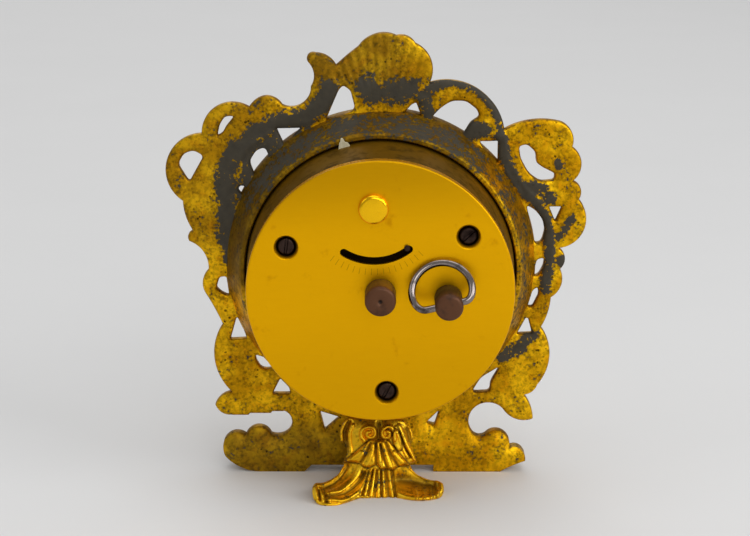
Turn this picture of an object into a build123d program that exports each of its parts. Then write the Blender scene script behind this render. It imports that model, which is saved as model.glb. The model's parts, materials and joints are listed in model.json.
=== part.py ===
from build123d import *
import math
import os

os.makedirs("parts", exist_ok=True)

# Openwork boudoir clock with a wind-up movement in a round drum.
# Everything is drawn as seen from the back: x to the right, y up from the dial's axis,
# z towards the back from the middle of the frame's plate. Lengths are in millimetres.

# Frame casting
base_drop = 16.0
frame_half = 2.2
base_front = 5.0
base_rear = 4.0
base_height = 9.0
arch_rise = 1.8
collar_foot = 1.0
collar_depth = 11.0
collar_rim = 1.2
collar_flare = 4.2
drum_gap = 1.9
seat_clearance = 0.3

# Rear foot
lug_width = 13.0
lug_reach = 10.8
lug_floor_gap = 3.0
lug_thickness = 2.5
foot_width = 18.0
foot_top_width = 13.0
foot_gap = 2.4
foot_wall = 6.4
toe_radius = 3.9
toe_height = 2.9
left_toe_out = 12.3
left_toe_back = 3.9
right_toe_out = 11.6
right_toe_back = -0.9
foot_screw_radius = 1.1
foot_screw_head = 1.9
foot_screw_head_height = 1.2
foot_screw_grip = 5.0

# Drum and back cover
cover_radius = 31.75
cover_face = 29.0
cover_thickness = 1.0
cover_skirt = 2.4
cover_wall = 0.5
cover_fillet = 0.4
drum_wall = 0.6
fit = 0.05
seat = 0.02
dimple_radius = 2.8
dimple_depth = 1.6
dimple_wall = 0.5
screw_head_radius = 2.25
screw_head_height = 1.1
screw_slot_width = 0.55
screw_slot_depth = 0.45
screw_radius = 1.1
screw_grip = 3.0
cap_radius = 3.6
cap_rise = 1.7
cap_spigot = 1.2
slot_width = 1.7
slot_half_angle = 36.0
wedge_angle = 105.5
wedge_width = 3.0
wedge_length = 7.5

# Front: drum flange, dial, hands, bezel and glass
flange_width = 3.8
flange_thickness = 0.6
lip_width = 1.3
dial_thickness = 0.6
dial_foot_radius = 1.0
dial_hole_gap = 0.5
hand_room = 4.2
hand_thickness = 0.4
hand_step = 1.2
hand_hub = 2.6
hour_hand_length = 15.0
minute_hand_length = 22.0
hand_width = 2.2
bezel_overhang = 1.5
bezel_lip = 2.0
bezel_front_wall = 1.0
bezel_round = 2.6
crystal_margin = 1.3
crystal_thickness = 1.2
crystal_ring_width = 1.2

# Movement: plates and posts
movement_turn = 3.5
dial_space = 4.6
plate_thickness = 1.4
plate_gap = 17.0
plate_clearance = 0.3
pillar_radius = 1.75
pillar_stud = 0.9
nut_radius = 2.3
nut_height = 1.4
pillar_angles = (62.0, 168.0, 240.0, 302.0)
post_radius = 2.4
screw_angles = (30.0, 150.0, 270.0)

# Train: counts and places
arbor_radius = 0.6
pivot_radius = 0.45
shake = 0.3
wheel_thickness = 0.8
pinion_overlap = 0.5
barrel_drum_gap = 0.8
barrel_angle = -7.3
barrel_teeth = 64
centre_pinion_teeth = 12
centre_teeth = 64
third_pinion_teeth = 8
third_teeth = 60
fourth_pinion_teeth = 8
fourth_teeth = 64
escape_pinion_teeth = 8
escape_teeth = 15
third_angle = 190.7
fourth_angle = 111.6
escape_angle = 73.6
balance_angle = 91.0
pallet_gap = 0.2
pallet_angle = 34.8

# Places in the movement as shares of the plates' radius
pillar_circle_share = 0.825
screw_circle_share = 0.815
dial_foot_circle_share = 0.858
slot_radius_share = 0.419
third_distance_share = 0.356
fourth_distance_share = 0.281
escape_distance_share = 0.261
escape_radius_share = 0.165
balance_distance_share = 0.693
motion_distance_share = 0.198

# Depths of the wheels as shares of the gap between the plates
barrel_start_share = 0.07
barrel_end_share = 0.59
centre_share = 0.69
third_share = 0.26
fourth_share = 0.80
escape_share = 0.435
pallet_share = 0.52
roller_share = 0.60
balance_share = 0.76
hairspring_share = 0.90

# Teeth as shares of the module and of the tooth pitch
addendum_share = 0.75
dedendum_share = 1.10
wheel_tooth_shares = (0.26, 0.11)
pinion_tooth_shares = (0.19, 0.11)
window_share = 0.60
window_size_share = 0.21
window_count = 5

# Hand arbor and motion work
hand_arbor_radius = 0.8
centre_pipe_radius = 1.5
centre_pivot_radius = 1.2
cannon_teeth = 12
minute_teeth = 36
minute_pinion_teeth = 10
hour_teeth = 40
motion_angle = 215.0
motion_wheel_thickness = 0.8
motion_clearance = 0.3
cannon_pipe_wall = 0.35
hour_pipe_wall = 0.45
minute_stud_share = 0.75
washer_radius = 2.4
washer_thickness = 0.4

# Barrel, spring and winding work
barrel_gear_thickness = 1.2
barrel_wall = 0.7
barrel_root_gap = 0.5
barrel_lid = 0.8
winding_radius = 1.2
spring_hub_radius = 2.4
mainspring_thickness = 0.35
mainspring_turns = 7
spring_gap = 0.3
ratchet_radius = 4.5
ratchet_teeth = 20
ratchet_depth = 0.8
ratchet_thickness = 1.2
click_distance = 8.0
click_angle = 250.0
click_lead = 40.0
click_hub = 1.6
click_gap = 0.25
click_width = 1.4
click_thickness = 0.9
click_screw_radius = 0.8
click_screw_head = 1.4
click_screw_head_height = 0.6
click_spring_thickness = 0.4
click_spring_length = 7.0
click_spring_foot = 1.6

# Escapement and balance
pallet_width = 1.2
pallet_hub = 1.3
pallet_pin_radius = 0.25
pallet_pin_spread = 40.0
pallet_pin_gap = 0.7
fork_gap = 0.5
escape_tooth_depth = 1.5
balance_gap = 0.35
balance_rim = 1.1
balance_arm = 1.2
balance_hub = 1.4
staff_radius = 0.5
staff_pivot_radius = 0.3
roller_radius = 1.5
roller_thickness = 0.6
impulse_radius = 1.1
impulse_pin_radius = 0.25
collet_radius = 0.9
hairspring_radius = 4.6
hairspring_thickness = 0.2
hairspring_width = 0.6
hairspring_turns = 5
stud_width = 1.2
index_hub = 3.6
index_bush = 2.35
index_thickness = 0.6
index_width = 1.6
index_pin_radius = 0.7
index_proud = 0.6
index_rest_angle = 35.0

# Knob, winding key and its ring
knob_radius = 3.65
knob_length = 7.4
knob_gap = 0.4
knob_fillet = 0.7
knob_dimple = 0.5
key_radius = 3.3
key_length = 8.8
key_fillet = 1.0
key_bore_share = 0.44
ring_hinge_drop = 2.9
ring_wire_radius = 0.82
ring_reach = 10.5
ring_gap_left = 4.7
ring_gap_right = 2.9
ring_side_share = 0.35
ring_bar_share = 0.2
ring_turn = 13.5

# Cuts run past the faces that they go through by this much
overrun = 1.0

# Outline of the frame as shares of the collar's radius, seen from the back, clockwise from the
# left of the crest. Each pair is a cusp and the crown of the round lobe that follows it. Below the
# axis the heights follow the axis' own height instead, with the floor at the share given here.
floor_share = 1.416
lobe_shares = [
    ((-0.24, 1.31), (-0.19, 1.36)), ((-0.14, 1.40), (-0.03, 1.48)), ((0.10, 1.47), (0.16, 1.46)),
    ((0.21, 1.41), (0.29, 1.34)), ((0.31, 1.19), (0.60, 1.15)), ((0.76, 0.88), (0.95, 0.94)),
    ((1.14, 0.93), (1.20, 0.88)), ((1.22, 0.75), (1.28, 0.65)), ((1.22, 0.53), (1.26, 0.50)),
    ((1.27, 0.42), (1.32, 0.30)), ((1.17, 0.11), (1.20, 0.05)), ((1.15, -0.03), (1.15, -0.12)),
    ((1.07, -0.24), (1.09, -0.30)), ((1.04, -0.44), (1.09, -0.61)), ((1.03, -0.84), (0.99, -0.88)),
    ((0.94, -0.90), (0.98, -0.97)), ((1.00, -1.05), (0.92, -1.06)), ((0.81, -0.99), (0.60, -0.98)),
    ((0.59, -1.15), (0.63, -1.17)), ((0.68, -1.16), (0.78, -1.13)), ((0.84, -1.25), (0.92, -1.25)),
]
lobe_end_right_share = (0.95, -1.33)
base_end_right_shares = (0.87, 0.78)
base_flat_right_share = 0.35
base_flat_left_share = -0.50
base_end_left_shares = (-0.77, -0.93)
lobe_start_left_share = (-1.02, -1.30)

# Left side of the outline, from the base up. Each pair is the crown of a lobe and the cusp after it.
left_lobe_shares = [
    ((-1.01, -1.18), (-0.88, -1.16)), ((-0.79, -1.10), (-0.71, -1.16)), ((-0.64, -1.17), (-0.57, -1.12)),
    ((-0.565, -1.05), (-0.62, -1.00)), ((-0.81, -1.01), (-0.98, -1.03)), ((-1.05, -1.015), (-1.08, -0.97)),
    ((-1.04, -0.91), (-0.97, -0.88)), ((-1.07, -0.67), (-1.02, -0.41)), ((-1.065, -0.31), (-1.125, -0.21)),
    ((-1.145, -0.13), (-1.10, -0.05)),
    ((-1.13, 0.07), (-1.23, 0.15)), ((-1.235, 0.19), (-1.20, 0.22)), ((-1.25, 0.33), (-1.26, 0.43)),
    ((-1.37, 0.64), (-1.13, 0.86)), ((-1.05, 1.03), (-0.83, 1.03)), ((-0.70, 1.09), (-0.62, 1.03)),
    ((-0.52, 1.02), (-0.43, 1.14)), ((-0.405, 1.21), (-0.44, 1.29)), ((-0.445, 1.325), (-0.40, 1.345)),
    ((-0.33, 1.325), (-0.28, 1.27)),
]

# Openings between the scrolls, as shares of the collar's radius
opening_shares = [
    [(-1.28, 0.66), (-1.24, 0.72), (-1.19, 0.73), (-1.13, 0.70), (-1.20, 0.59), (-1.23, 0.55)],
    [(-0.93, 0.96), (-0.99, 0.945), (-1.03, 0.84), (-0.99, 0.90)],
    [(-0.33, 0.97), (-0.26, 1.09), (-0.24, 1.14), (-0.20, 1.12), (-0.18, 1.01)],
    [(-0.64, 0.84), (-0.56, 0.86), (-0.60, 0.82)],
    [(-0.82, 0.67), (-0.79, 0.72), (-0.74, 0.73), (-0.75, 0.68), (-0.80, 0.61)],
    [(-0.91, 0.49), (-0.88, 0.51), (-0.87, 0.47), (-0.90, 0.46)],
    [(0.16, 1.00), (0.22, 1.04), (0.24, 0.99)],
    [(0.35, 0.96), (0.38, 1.01), (0.44, 1.05), (0.50, 1.06), (0.57, 1.04), (0.62, 0.98), (0.53, 0.89)],
    [(0.66, 0.79), (0.74, 0.78), (0.74, 0.71)],
    [(0.89, 0.74), (0.98, 0.72), (0.98, 0.64), (1.08, 0.59), (1.09, 0.56), (1.05, 0.55), (0.93, 0.61)],
    [(0.96, 0.37), (1.00, 0.34), (1.04, 0.25), (1.03, 0.17), (1.01, 0.15)],
    [(1.09, 0.36), (1.15, 0.36), (1.13, 0.28)],
    [(1.02, 0.01), (1.04, 0.04), (1.05, 0.00), (1.02, -0.05)],
    [(1.02, -0.17), (1.04, -0.20), (1.01, -0.26)],
    [(0.96, -0.40), (0.98, -0.47), (0.93, -0.47)],
    [(0.78, -0.73), (0.73, -0.81), (0.73, -0.86), (0.66, -0.87)],
    [(0.32, -1.06), (0.37, -1.03), (0.35, -1.10)],
    [(-1.05, -0.16), (-1.03, -0.11), (-1.01, -0.13), (-1.01, -0.20)],
    [(-0.95, -0.40), (-0.91, -0.50), (-0.96, -0.49)],
    [(-0.82, -0.65), (-0.75, -0.735), (-0.79, -0.73)],
    [(-0.68, -0.83), (-0.61, -0.87), (-0.70, -0.89)],
    [(-0.38, -1.03), (-0.28, -1.06), (-0.37, -1.13)],
]

# Upper edge of the foot from its side, as shares of the foot's depth and of its crown's height
foot_edge_shares = [(0.24, 0.70), (0.62, 0.99), (0.80, 1.00), (0.86, 0.84), (0.92, 0.56), (0.99, 0.38)]

# Derived places
drum_radius = cover_radius - cover_wall - fit
drum_inner = drum_radius - drum_wall
cover_inner = cover_face - cover_thickness
collar_bore = drum_radius + drum_gap
ring_radius = collar_bore + collar_rim + collar_flare
axis_height = ring_radius + base_drop
floor = -axis_height
flange_radius = drum_radius + flange_width
flange_front = -frame_half - flange_thickness
dial_front = -frame_half
dial_rear = dial_front + dial_thickness
front_plate_face = dial_rear + dial_space
front_inner = front_plate_face + plate_thickness
rear_inner = front_inner + plate_gap
rear_plate_face = rear_inner + plate_thickness
plate_radius = drum_inner - plate_clearance
pillar_circle = pillar_circle_share * plate_radius
screw_circle = screw_circle_share * plate_radius
dial_foot_circle = dial_foot_circle_share * plate_radius
slot_radius = slot_radius_share * plate_radius
escape_radius = escape_radius_share * plate_radius
crystal_rear = dial_front - hand_room
crystal_front = crystal_rear - crystal_thickness
bezel_front = crystal_front - bezel_front_wall
bezel_radius = flange_radius + bezel_overhang
crystal_seat = drum_inner + crystal_margin
foot_inner = frame_half + lug_reach + seat_clearance
foot_back = foot_inner + foot_wall
foot_crown = axis_height - collar_bore - collar_rim - foot_gap
knob_base = cover_face + knob_gap
key_end = knob_base + key_length
hinge_depth = key_end - ring_hinge_drop
key_bore_depth = key_bore_share * key_length
ring_lean = math.degrees(math.asin((hinge_depth - cover_face - ring_wire_radius - fit) / ring_reach))
barrel_pair = barrel_teeth + centre_pinion_teeth
barrel_share = (barrel_teeth + 2 * addendum_share) / barrel_pair
barrel_distance = (drum_inner - barrel_drum_gap) / (1 + barrel_share)
barrel_module = 2 * barrel_distance / barrel_pair
third_distance = third_distance_share * plate_radius
fourth_distance = fourth_distance_share * plate_radius
escape_distance = escape_distance_share * plate_radius
balance_distance = balance_distance_share * plate_radius
motion_distance = motion_distance_share * plate_radius
centre_module = 2 * third_distance / (centre_teeth + third_pinion_teeth)
third_module = 2 * fourth_distance / (third_teeth + fourth_pinion_teeth)
fourth_module = 2 * escape_distance / (fourth_teeth + escape_pinion_teeth)
cannon_module = 2 * motion_distance / (cannon_teeth + minute_teeth)
hour_module = 2 * motion_distance / (minute_pinion_teeth + hour_teeth)
minute_stud_radius = minute_stud_share * hour_module * (minute_pinion_teeth / 2 - dedendum_share)
cannon_pipe = hand_arbor_radius + seat + cannon_pipe_wall
hour_pipe = cannon_pipe + fit + hour_pipe_wall
stand_up = (Align.CENTER, Align.CENTER, Align.MIN)


def polar(distance, angle, start=(0, 0)):
    """Point at a distance and an angle from another point."""
    turn_angle = math.radians(angle)
    return (start[0] + distance * math.cos(turn_angle), start[1] + distance * math.sin(turn_angle))


def heading(start, end):
    """Angle of the line from one point to another, in degrees."""
    return math.degrees(math.atan2(end[1] - start[1], end[0] - start[0]))


centre = (0, 0)
barrel_at = polar(barrel_distance, barrel_angle)
third_at = polar(third_distance, third_angle)
fourth_at = polar(fourth_distance, fourth_angle, third_at)
escape_at = polar(escape_distance, escape_angle, fourth_at)
balance_at = polar(balance_distance, balance_angle)
pallet_distance = escape_radius + arbor_radius + pallet_gap
pallet_at = polar(pallet_distance, pallet_angle, escape_at)
balance_radius = math.dist(pallet_at, balance_at) - arbor_radius - balance_gap
minute_at = polar(motion_distance, motion_angle)
click_at = polar(click_distance, click_angle, barrel_at)


def depth(share):
    """Depth at a share of the gap between the plates."""
    return front_inner + share * plate_gap


def disc(radius, start, end, at=centre):
    """Cylinder along the depth, from one depth to another."""
    return Pos(at[0], at[1], start) * Cylinder(radius, end - start, align=stand_up)


def ring(outer, inner, start, end, at=centre):
    """Tube along the depth, from one depth to another."""
    return Pos(at[0], at[1], start) * extrude(Circle(outer) - Circle(inner), end - start)


def turned(edges):
    """Solid turned about the dial's axis from a closed section given as radius and depth."""
    return revolve(Plane.XZ * make_face(edges), Axis.Z)


def bar(start, end, width, low, high):
    """Flat bar between two points, as wide as given, from one depth to another."""
    length = math.dist(start, end)
    middle = ((start[0] + end[0]) / 2, (start[1] + end[1]) / 2)
    shape = Pos(middle[0], middle[1], low) * Rot(0, 0, heading(start, end))
    return shape * Box(length, width, high - low, align=stand_up)


def mesh_phase(toward, phase, teeth, mate_teeth):
    """Angle of a tooth of a wheel that meshes with another wheel, lying in the direction given."""
    offset = (toward - phase) / (360 / teeth)
    return toward + 180 - (360 / mate_teeth) * (1 / 2 - offset)


def toothed(teeth, module, phase, tooth_shares):
    """Flat outline of a wheel or pinion."""
    pitch = 360 / teeth
    root = module * (teeth / 2 - dedendum_share)
    tip = module * (teeth / 2 + addendum_share)
    corners = []
    for tooth in range(teeth):
        middle = phase + tooth * pitch
        for radius, share in zip((root, tip, tip, root), (-1, -1, 1, 1)):
            half = tooth_shares[0] if radius == root else tooth_shares[1]
            corners.append(polar(radius, middle + share * half * pitch))
    return make_face(Polyline(*corners, close=True))


def wheel(teeth, module, phase, bore, start, end, at):
    """Toothed wheel with round windows and a bore."""
    radius = module * teeth / 2
    windows = PolarLocations(window_share * radius, window_count) * Circle(window_size_share * radius)
    face = toothed(teeth, module, phase, wheel_tooth_shares) - windows - Circle(bore)
    return Pos(at[0], at[1], start) * extrude(face, end - start)


def pinion(teeth, module, phase, start, end, at):
    """Toothed pinion without a bore."""
    face = toothed(teeth, module, phase, pinion_tooth_shares)
    return Pos(at[0], at[1], start) * extrude(face, end - start)


def arbor(at, radius=arbor_radius, pivot=pivot_radius):
    """Shaft between the plates with a pivot in each."""
    body = disc(radius, front_inner + shake, rear_inner - shake, at)
    return body + disc(pivot, front_plate_face, rear_plate_face, at)


def spiral(inner, outer, turns, thickness, start, end, at):
    """Flat strip wound in half circles from an inner to an outer radius."""
    step = (outer - inner) / (2 * turns)
    edges = []
    ends = []
    for side in (-thickness / 2, thickness / 2):
        run = []
        left = -inner - side
        for half in range(2 * turns):
            radius = inner + side + half * step + step / 2
            sign = 1 if half % 2 == 0 else -1
            middle = left + sign * radius
            crown = (middle, sign * radius)
            right = middle + sign * radius
            run.append(ThreePointArc((left, 0), crown, (right, 0)))
            left = right
        edges += run
        ends.append(((-inner - side, 0), (left, 0)))
    edges.append(Line(ends[0][0], ends[1][0]))
    edges.append(Line(ends[0][1], ends[1][1]))
    return Pos(at[0], at[1], start) * extrude(make_face(edges), end - start)


def scaled(share):
    """Point of the frame's outline in millimetres."""
    unit = ring_radius if share[1] > 0 else axis_height / floor_share
    return (share[0] * ring_radius, share[1] * unit)


def outline():
    """Outer edge of the frame: round lobes between cusps, with a flat footed base."""
    points = [scaled(point) for pair in lobe_shares for point in pair]
    points.append(scaled(lobe_end_right_share))
    edges = [ThreePointArc(*points[i:i + 3]) for i in range(0, len(points) - 2, 2)]
    low = floor + arch_rise
    right_flat = (base_flat_right_share * ring_radius, floor)
    left_flat = (base_flat_left_share * ring_radius, floor)
    right_corner = (base_end_right_shares[1] * ring_radius, floor)
    right_round = (base_end_right_shares[0] * ring_radius, floor + arch_rise)
    left_corner = (base_end_left_shares[0] * ring_radius, floor)
    left_round = (base_end_left_shares[1] * ring_radius, floor + arch_rise)
    edges.append(ThreePointArc(points[-1], right_round, right_corner))
    arch = [right_flat, (right_flat[0], low), (left_flat[0] + arch_rise, low), left_flat]
    edges.append(Polyline(right_corner, *arch, left_corner))
    left = [scaled(lobe_start_left_share)] + [scaled(point) for pair in left_lobe_shares for point in pair]
    edges.append(ThreePointArc(left_corner, left_round, left[0]))
    edges += [ThreePointArc(*left[i:i + 3]) for i in range(0, len(left) - 2, 2)]
    edges.append(Line(left[-1], points[0]))
    return make_face(edges)


def frame_casting():
    """Openwork plate with its base, the conical collar round the drum and the lug for the foot."""
    plan = outline()
    face = plan
    for shares in opening_shares:
        face -= make_face(Polyline(*[scaled(share) for share in shares], close=True))
    plate = Pos(0, 0, -frame_half) * extrude(face, 2 * frame_half)
    base_band = Pos(0, floor) * Rectangle(4 * ring_radius, base_height, align=(Align.CENTER, Align.MIN))
    base = Pos(0, 0, -base_front) * extrude(plan & base_band, base_front + base_rear)
    bore = drum_radius + seat_clearance
    rim = collar_bore + collar_rim
    section = Polyline((bore, -frame_half), (ring_radius, -frame_half), (ring_radius, collar_foot),
                       (rim, collar_depth), (collar_bore, collar_depth), (collar_bore, 0), (bore, 0),
                       close=True)
    collar = turned(section)
    lug = Pos(0, floor + lug_floor_gap, 0) * Box(lug_width, lug_thickness, frame_half + lug_reach,
                                                 align=(Align.CENTER, Align.MIN, Align.MIN))
    body = plate + base + lug - disc(collar_bore, -base_front - overrun, collar_depth) + collar
    for place in foot_screw_places():
        body -= place * Cylinder(foot_screw_radius + fit, 3 * lug_thickness)
    return body


def foot_screw_places():
    """Places of the foot's upright screws, at the underside of the lug."""
    middle = (base_rear + frame_half + lug_reach) / 2
    upright = Rot(-90, 0, 0)
    return [Pos(side * lug_width / 4, floor + lug_floor_gap, middle) * upright for side in (-1, 1)]


def rear_foot():
    """Strut foot behind the base: a console that stands on the lug and ends in two splayed toes."""
    shelf = lug_floor_gap + lug_thickness
    front = base_rear + seat_clearance
    edge = [(back * foot_back, rise * foot_crown) for back, rise in foot_edge_shares]
    heel = [(foot_back, 0), (foot_inner, 0), (foot_inner, shelf)]
    side = [(front, shelf), (front, edge[0][1])] + edge[1:] + heel
    profile = make_face(Polyline(*[(0, floor + height, back) for back, height in side], close=True))
    console = extrude(profile, foot_width / 2, dir=(1, 0, 0), both=True)
    top = floor + foot_crown
    taper = make_face(Polyline((-foot_width / 2, floor), (foot_width / 2, floor), (foot_top_width / 2, top),
                               (-foot_top_width / 2, top), close=True))
    body = console & extrude(taper, foot_back + overrun)
    root = foot_inner + toe_radius
    for out, back in ((-left_toe_out, left_toe_back), (right_toe_out, right_toe_back)):
        run = foot_back + back - root
        way = Pos(0, floor + toe_height, root) * Rot(0, math.degrees(math.atan2(out, run)), 0)
        reach = math.hypot(out, run)
        body += way * Cylinder(toe_radius, reach, align=stand_up)
        body += way * Pos(0, 0, reach) * Sphere(toe_radius)
    below = Pos(0, floor, foot_back) * Box(4 * foot_width, 2 * toe_radius, 4 * foot_back,
                                           align=(Align.CENTER, Align.MAX, Align.CENTER))
    body -= below
    for place in foot_screw_places():
        body -= place * Cylinder(foot_screw_radius + fit, 2 * (lug_thickness + foot_screw_grip))
    return body


def foot_screws():
    """Two screws that come up through the lug into the foot."""
    screws = []
    for place in foot_screw_places():
        head = Cylinder(foot_screw_head, foot_screw_head_height, align=stand_up)
        head = Pos(0, 0, -foot_screw_head_height) * head
        shank = Cylinder(foot_screw_radius, lug_thickness + foot_screw_grip - shake, align=stand_up)
        screws.append(place * (head + shank))
    return screws


def drum_case():
    """Brass drum with a front flange that lies on the frame and an inner lip for the dial."""
    lip = drum_inner - lip_width
    return turned(Polyline((lip, flange_front), (flange_radius, flange_front), (flange_radius, -frame_half),
                           (drum_radius, -frame_half), (drum_radius, cover_inner), (drum_inner, cover_inner),
                           (drum_inner, dial_front), (lip, dial_front), close=True))


def packing_wedge():
    """Sliver that packs the drum in the collar."""
    sleeve = ring(collar_bore - fit, drum_radius + fit, collar_depth - wedge_length, collar_depth)
    reach = polar(2 * cover_radius, wedge_angle)
    return sleeve & bar(centre, reach, wedge_width, 0, cover_face)


def back_cover():
    """Cap over the back of the drum with screw dimples, arbor holes and the regulator's slot."""
    edge = cover_face - cover_skirt - cover_thickness
    cap = disc(cover_radius, edge, cover_face)
    cap = fillet(cap.edges().sort_by(Axis.Z)[-1], cover_fillet)
    cap -= disc(drum_radius + fit, edge - overrun, cover_inner)
    for angle in screw_angles:
        at = polar(screw_circle, angle)
        cup = cover_face - dimple_depth
        cap += disc(dimple_radius + dimple_wall, cup - dimple_wall, cover_inner, at)
        cap -= disc(dimple_radius, cup, cover_face + overrun, at)
        cap -= disc(screw_radius + fit, cup - dimple_wall - overrun, cover_face, at)
    cap -= disc(hand_arbor_radius + shake, cover_inner - overrun, cover_face + overrun)
    cap -= disc(winding_radius + shake, cover_inner - overrun, cover_face + overrun, barrel_at)
    cap -= disc(cap_spigot + fit, cover_inner - overrun, cover_face + overrun, balance_at)
    start = polar(slot_radius, -90 - slot_half_angle)
    crown = polar(slot_radius, -90)
    end = polar(slot_radius, -90 + slot_half_angle)
    curve = SlotArc(ThreePointArc(start, crown, end), slot_width)
    slot = extrude(curve, cover_thickness + 2 * overrun)
    return cap - Pos(balance_at[0], balance_at[1], cover_inner - overrun) * slot


def cover_screws():
    """Slotted screws that hold the cover to the posts."""
    screws = []
    for angle in screw_angles:
        at = polar(screw_circle, angle)
        under = cover_face - dimple_depth
        top = under + screw_head_height
        screw = disc(screw_head_radius, under, top, at)
        screw += disc(screw_radius, under - dimple_wall - screw_grip, under, at)
        slot = Pos(at[0], at[1], top) * Rot(0, 0, angle + movement_turn)
        screw -= slot * Box(3 * screw_head_radius, screw_slot_width, 2 * screw_slot_depth)
        screws.append(screw)
    return screws


def balance_cap():
    """Domed cap on the cover over the balance's axis."""
    sphere = (cap_radius ** 2 + cap_rise ** 2) / (2 * cap_rise)
    dome = Pos(balance_at[0], balance_at[1], cover_face + cap_rise - sphere) * Sphere(sphere)
    dome &= disc(cap_radius, cover_face, cover_face + 2 * cap_rise, balance_at)
    return dome + disc(cap_spigot, cover_inner, cover_face, balance_at)


def bezel():
    """Ring in front of the drum's flange with a rounded outer edge and a lip over the glass."""
    inner = crystal_seat - bezel_lip
    shoulder = bezel_radius - bezel_round
    nose = bezel_front + bezel_round
    round_edge = CenterArc((shoulder, nose), bezel_round, -90, 90)
    rest = Polyline((bezel_radius, nose), (bezel_radius, flange_front), (crystal_seat, flange_front),
                    (crystal_seat, crystal_front), (inner, crystal_front), (inner, bezel_front),
                    (shoulder, bezel_front))
    return turned([round_edge, rest])


def crystal():
    """Flat dial glass."""
    return disc(crystal_seat - fit, crystal_front, crystal_rear)


def crystal_ring():
    """Ring behind the glass that holds it in the bezel."""
    return ring(crystal_seat - fit, crystal_seat - crystal_ring_width, crystal_rear, flange_front)


def dial():
    """Dial plate with a centre hole and three feet that stand on the front plate."""
    plate = ring(drum_inner - fit, hour_pipe + dial_hole_gap, dial_front, dial_rear)
    for angle in screw_angles:
        plate += disc(dial_foot_radius, dial_rear, front_plate_face, polar(dial_foot_circle, angle))
    return plate


def hand(length, bore, front):
    """Tapered hand with a round hub, pointing up."""
    hub = Circle(hand_hub)
    blade = make_face(Polyline((-hand_width / 2, 0), (hand_width / 2, 0), (hand_width / 6, length),
                               (-hand_width / 6, length), close=True))
    return Pos(0, 0, front) * extrude(hub + blade - Circle(bore), hand_thickness)


def plate(start):
    """Movement plate without its holes."""
    return disc(plate_radius, start, start + plate_thickness)


def pierced(body, start):
    """Movement plate with the holes for the pivots and the pillars' ends."""
    end = start + plate_thickness + overrun
    for at in (third_at, fourth_at, escape_at, pallet_at):
        body -= disc(pivot_radius + fit, start - overrun, end, at)
    body -= disc(staff_pivot_radius + fit, start - overrun, end, balance_at)
    body -= disc(centre_pivot_radius + fit, start - overrun, end)
    body -= disc(winding_radius + fit, start - overrun, end, barrel_at)
    for angle in pillar_angles:
        body -= disc(pillar_stud + fit, start - overrun, end, polar(pillar_circle, angle))
    return body


def front_plate():
    """Plate under the dial, with a hole for the stud of the minute wheel."""
    body = pierced(plate(front_plate_face), front_plate_face)
    hole = disc(minute_stud_radius + seat, front_plate_face - overrun, front_inner + overrun, minute_at)
    return body - hole


def rear_plate():
    """Plate at the back, with the bush that carries the regulator."""
    bush = disc(index_bush, rear_plate_face, rear_plate_face + shake + 2 * index_thickness, balance_at)
    body = pierced(plate(rear_inner), rear_inner) + bush
    body -= disc(staff_pivot_radius + fit, rear_inner - overrun, cover_face, balance_at)
    return body - disc(click_screw_radius + fit, rear_inner - overrun, rear_plate_face + overrun, click_at)


def pillars():
    """Posts between the plates with a stud at each end."""
    posts = []
    for angle in pillar_angles:
        at = polar(pillar_circle, angle)
        post = disc(pillar_radius, front_inner, rear_inner, at)
        posts.append(post + disc(pillar_stud, front_plate_face, rear_plate_face + nut_height, at))
    return posts


def pillar_nuts():
    """Hexagon nuts on the pillars' studs."""
    nuts = []
    for angle in pillar_angles:
        at = polar(pillar_circle, angle)
        face = RegularPolygon(nut_radius, 6) - Circle(pillar_stud + seat)
        nuts.append(Pos(at[0], at[1], rear_plate_face) * extrude(face, nut_height))
    return nuts


def cover_posts():
    """Short posts between the rear plate and the cover's dimples."""
    end = cover_face - dimple_depth - dimple_wall
    posts = []
    for angle in screw_angles:
        at = polar(screw_circle, angle)
        post = disc(post_radius, rear_plate_face, end, at)
        posts.append(post - disc(screw_radius + fit, end - screw_grip - shake, end + overrun, at))
    return posts


# Phases of the wheels, so that every pair is in mesh
centre_pinion_phase = 0
barrel_phase = mesh_phase(barrel_angle, centre_pinion_phase, centre_pinion_teeth, barrel_teeth)
centre_phase = 0
third_pinion_phase = mesh_phase(third_angle, centre_phase, centre_teeth, third_pinion_teeth)
third_phase = 0
fourth_pinion_phase = mesh_phase(fourth_angle, third_phase, third_teeth, fourth_pinion_teeth)
fourth_phase = 0
escape_pinion_phase = mesh_phase(escape_angle, fourth_phase, fourth_teeth, escape_pinion_teeth)
cannon_phase = 0
minute_phase = mesh_phase(motion_angle, cannon_phase, cannon_teeth, minute_teeth)
minute_pinion_phase = 0
hour_phase = mesh_phase(motion_angle + 180, minute_pinion_phase, minute_pinion_teeth, hour_teeth)

# Depths of the motion work, from the front plate towards the dial
cannon_rear = front_plate_face - motion_clearance
minute_rear = cannon_rear - motion_clearance
minute_front = minute_rear - motion_wheel_thickness
cannon_front = minute_front - motion_clearance
hour_rear = cannon_front - 2 * motion_clearance
hour_front = hour_rear - motion_wheel_thickness
minute_pinion_front = hour_front - motion_clearance / 2
hour_hand_front = dial_front - hand_step - hand_thickness
minute_hand_front = hour_hand_front - hand_step


def centre_arbor():
    """Hand shaft from the cannon pinion to the knob at the back."""
    return disc(hand_arbor_radius, minute_hand_front - hand_thickness, knob_base + knob_length / 2)


def setting_knob():
    """Round knob that sets the hands, with a dimple in its end."""
    body = disc(knob_radius, knob_base, knob_base + knob_length)
    body = fillet(body.edges().sort_by(Axis.Z)[-1], knob_fillet)
    body -= disc(hand_arbor_radius + seat, knob_base - overrun, knob_base + knob_length / 2 + seat)
    return body - Pos(0, 0, knob_base + knob_length) * Sphere(knob_dimple)


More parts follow.
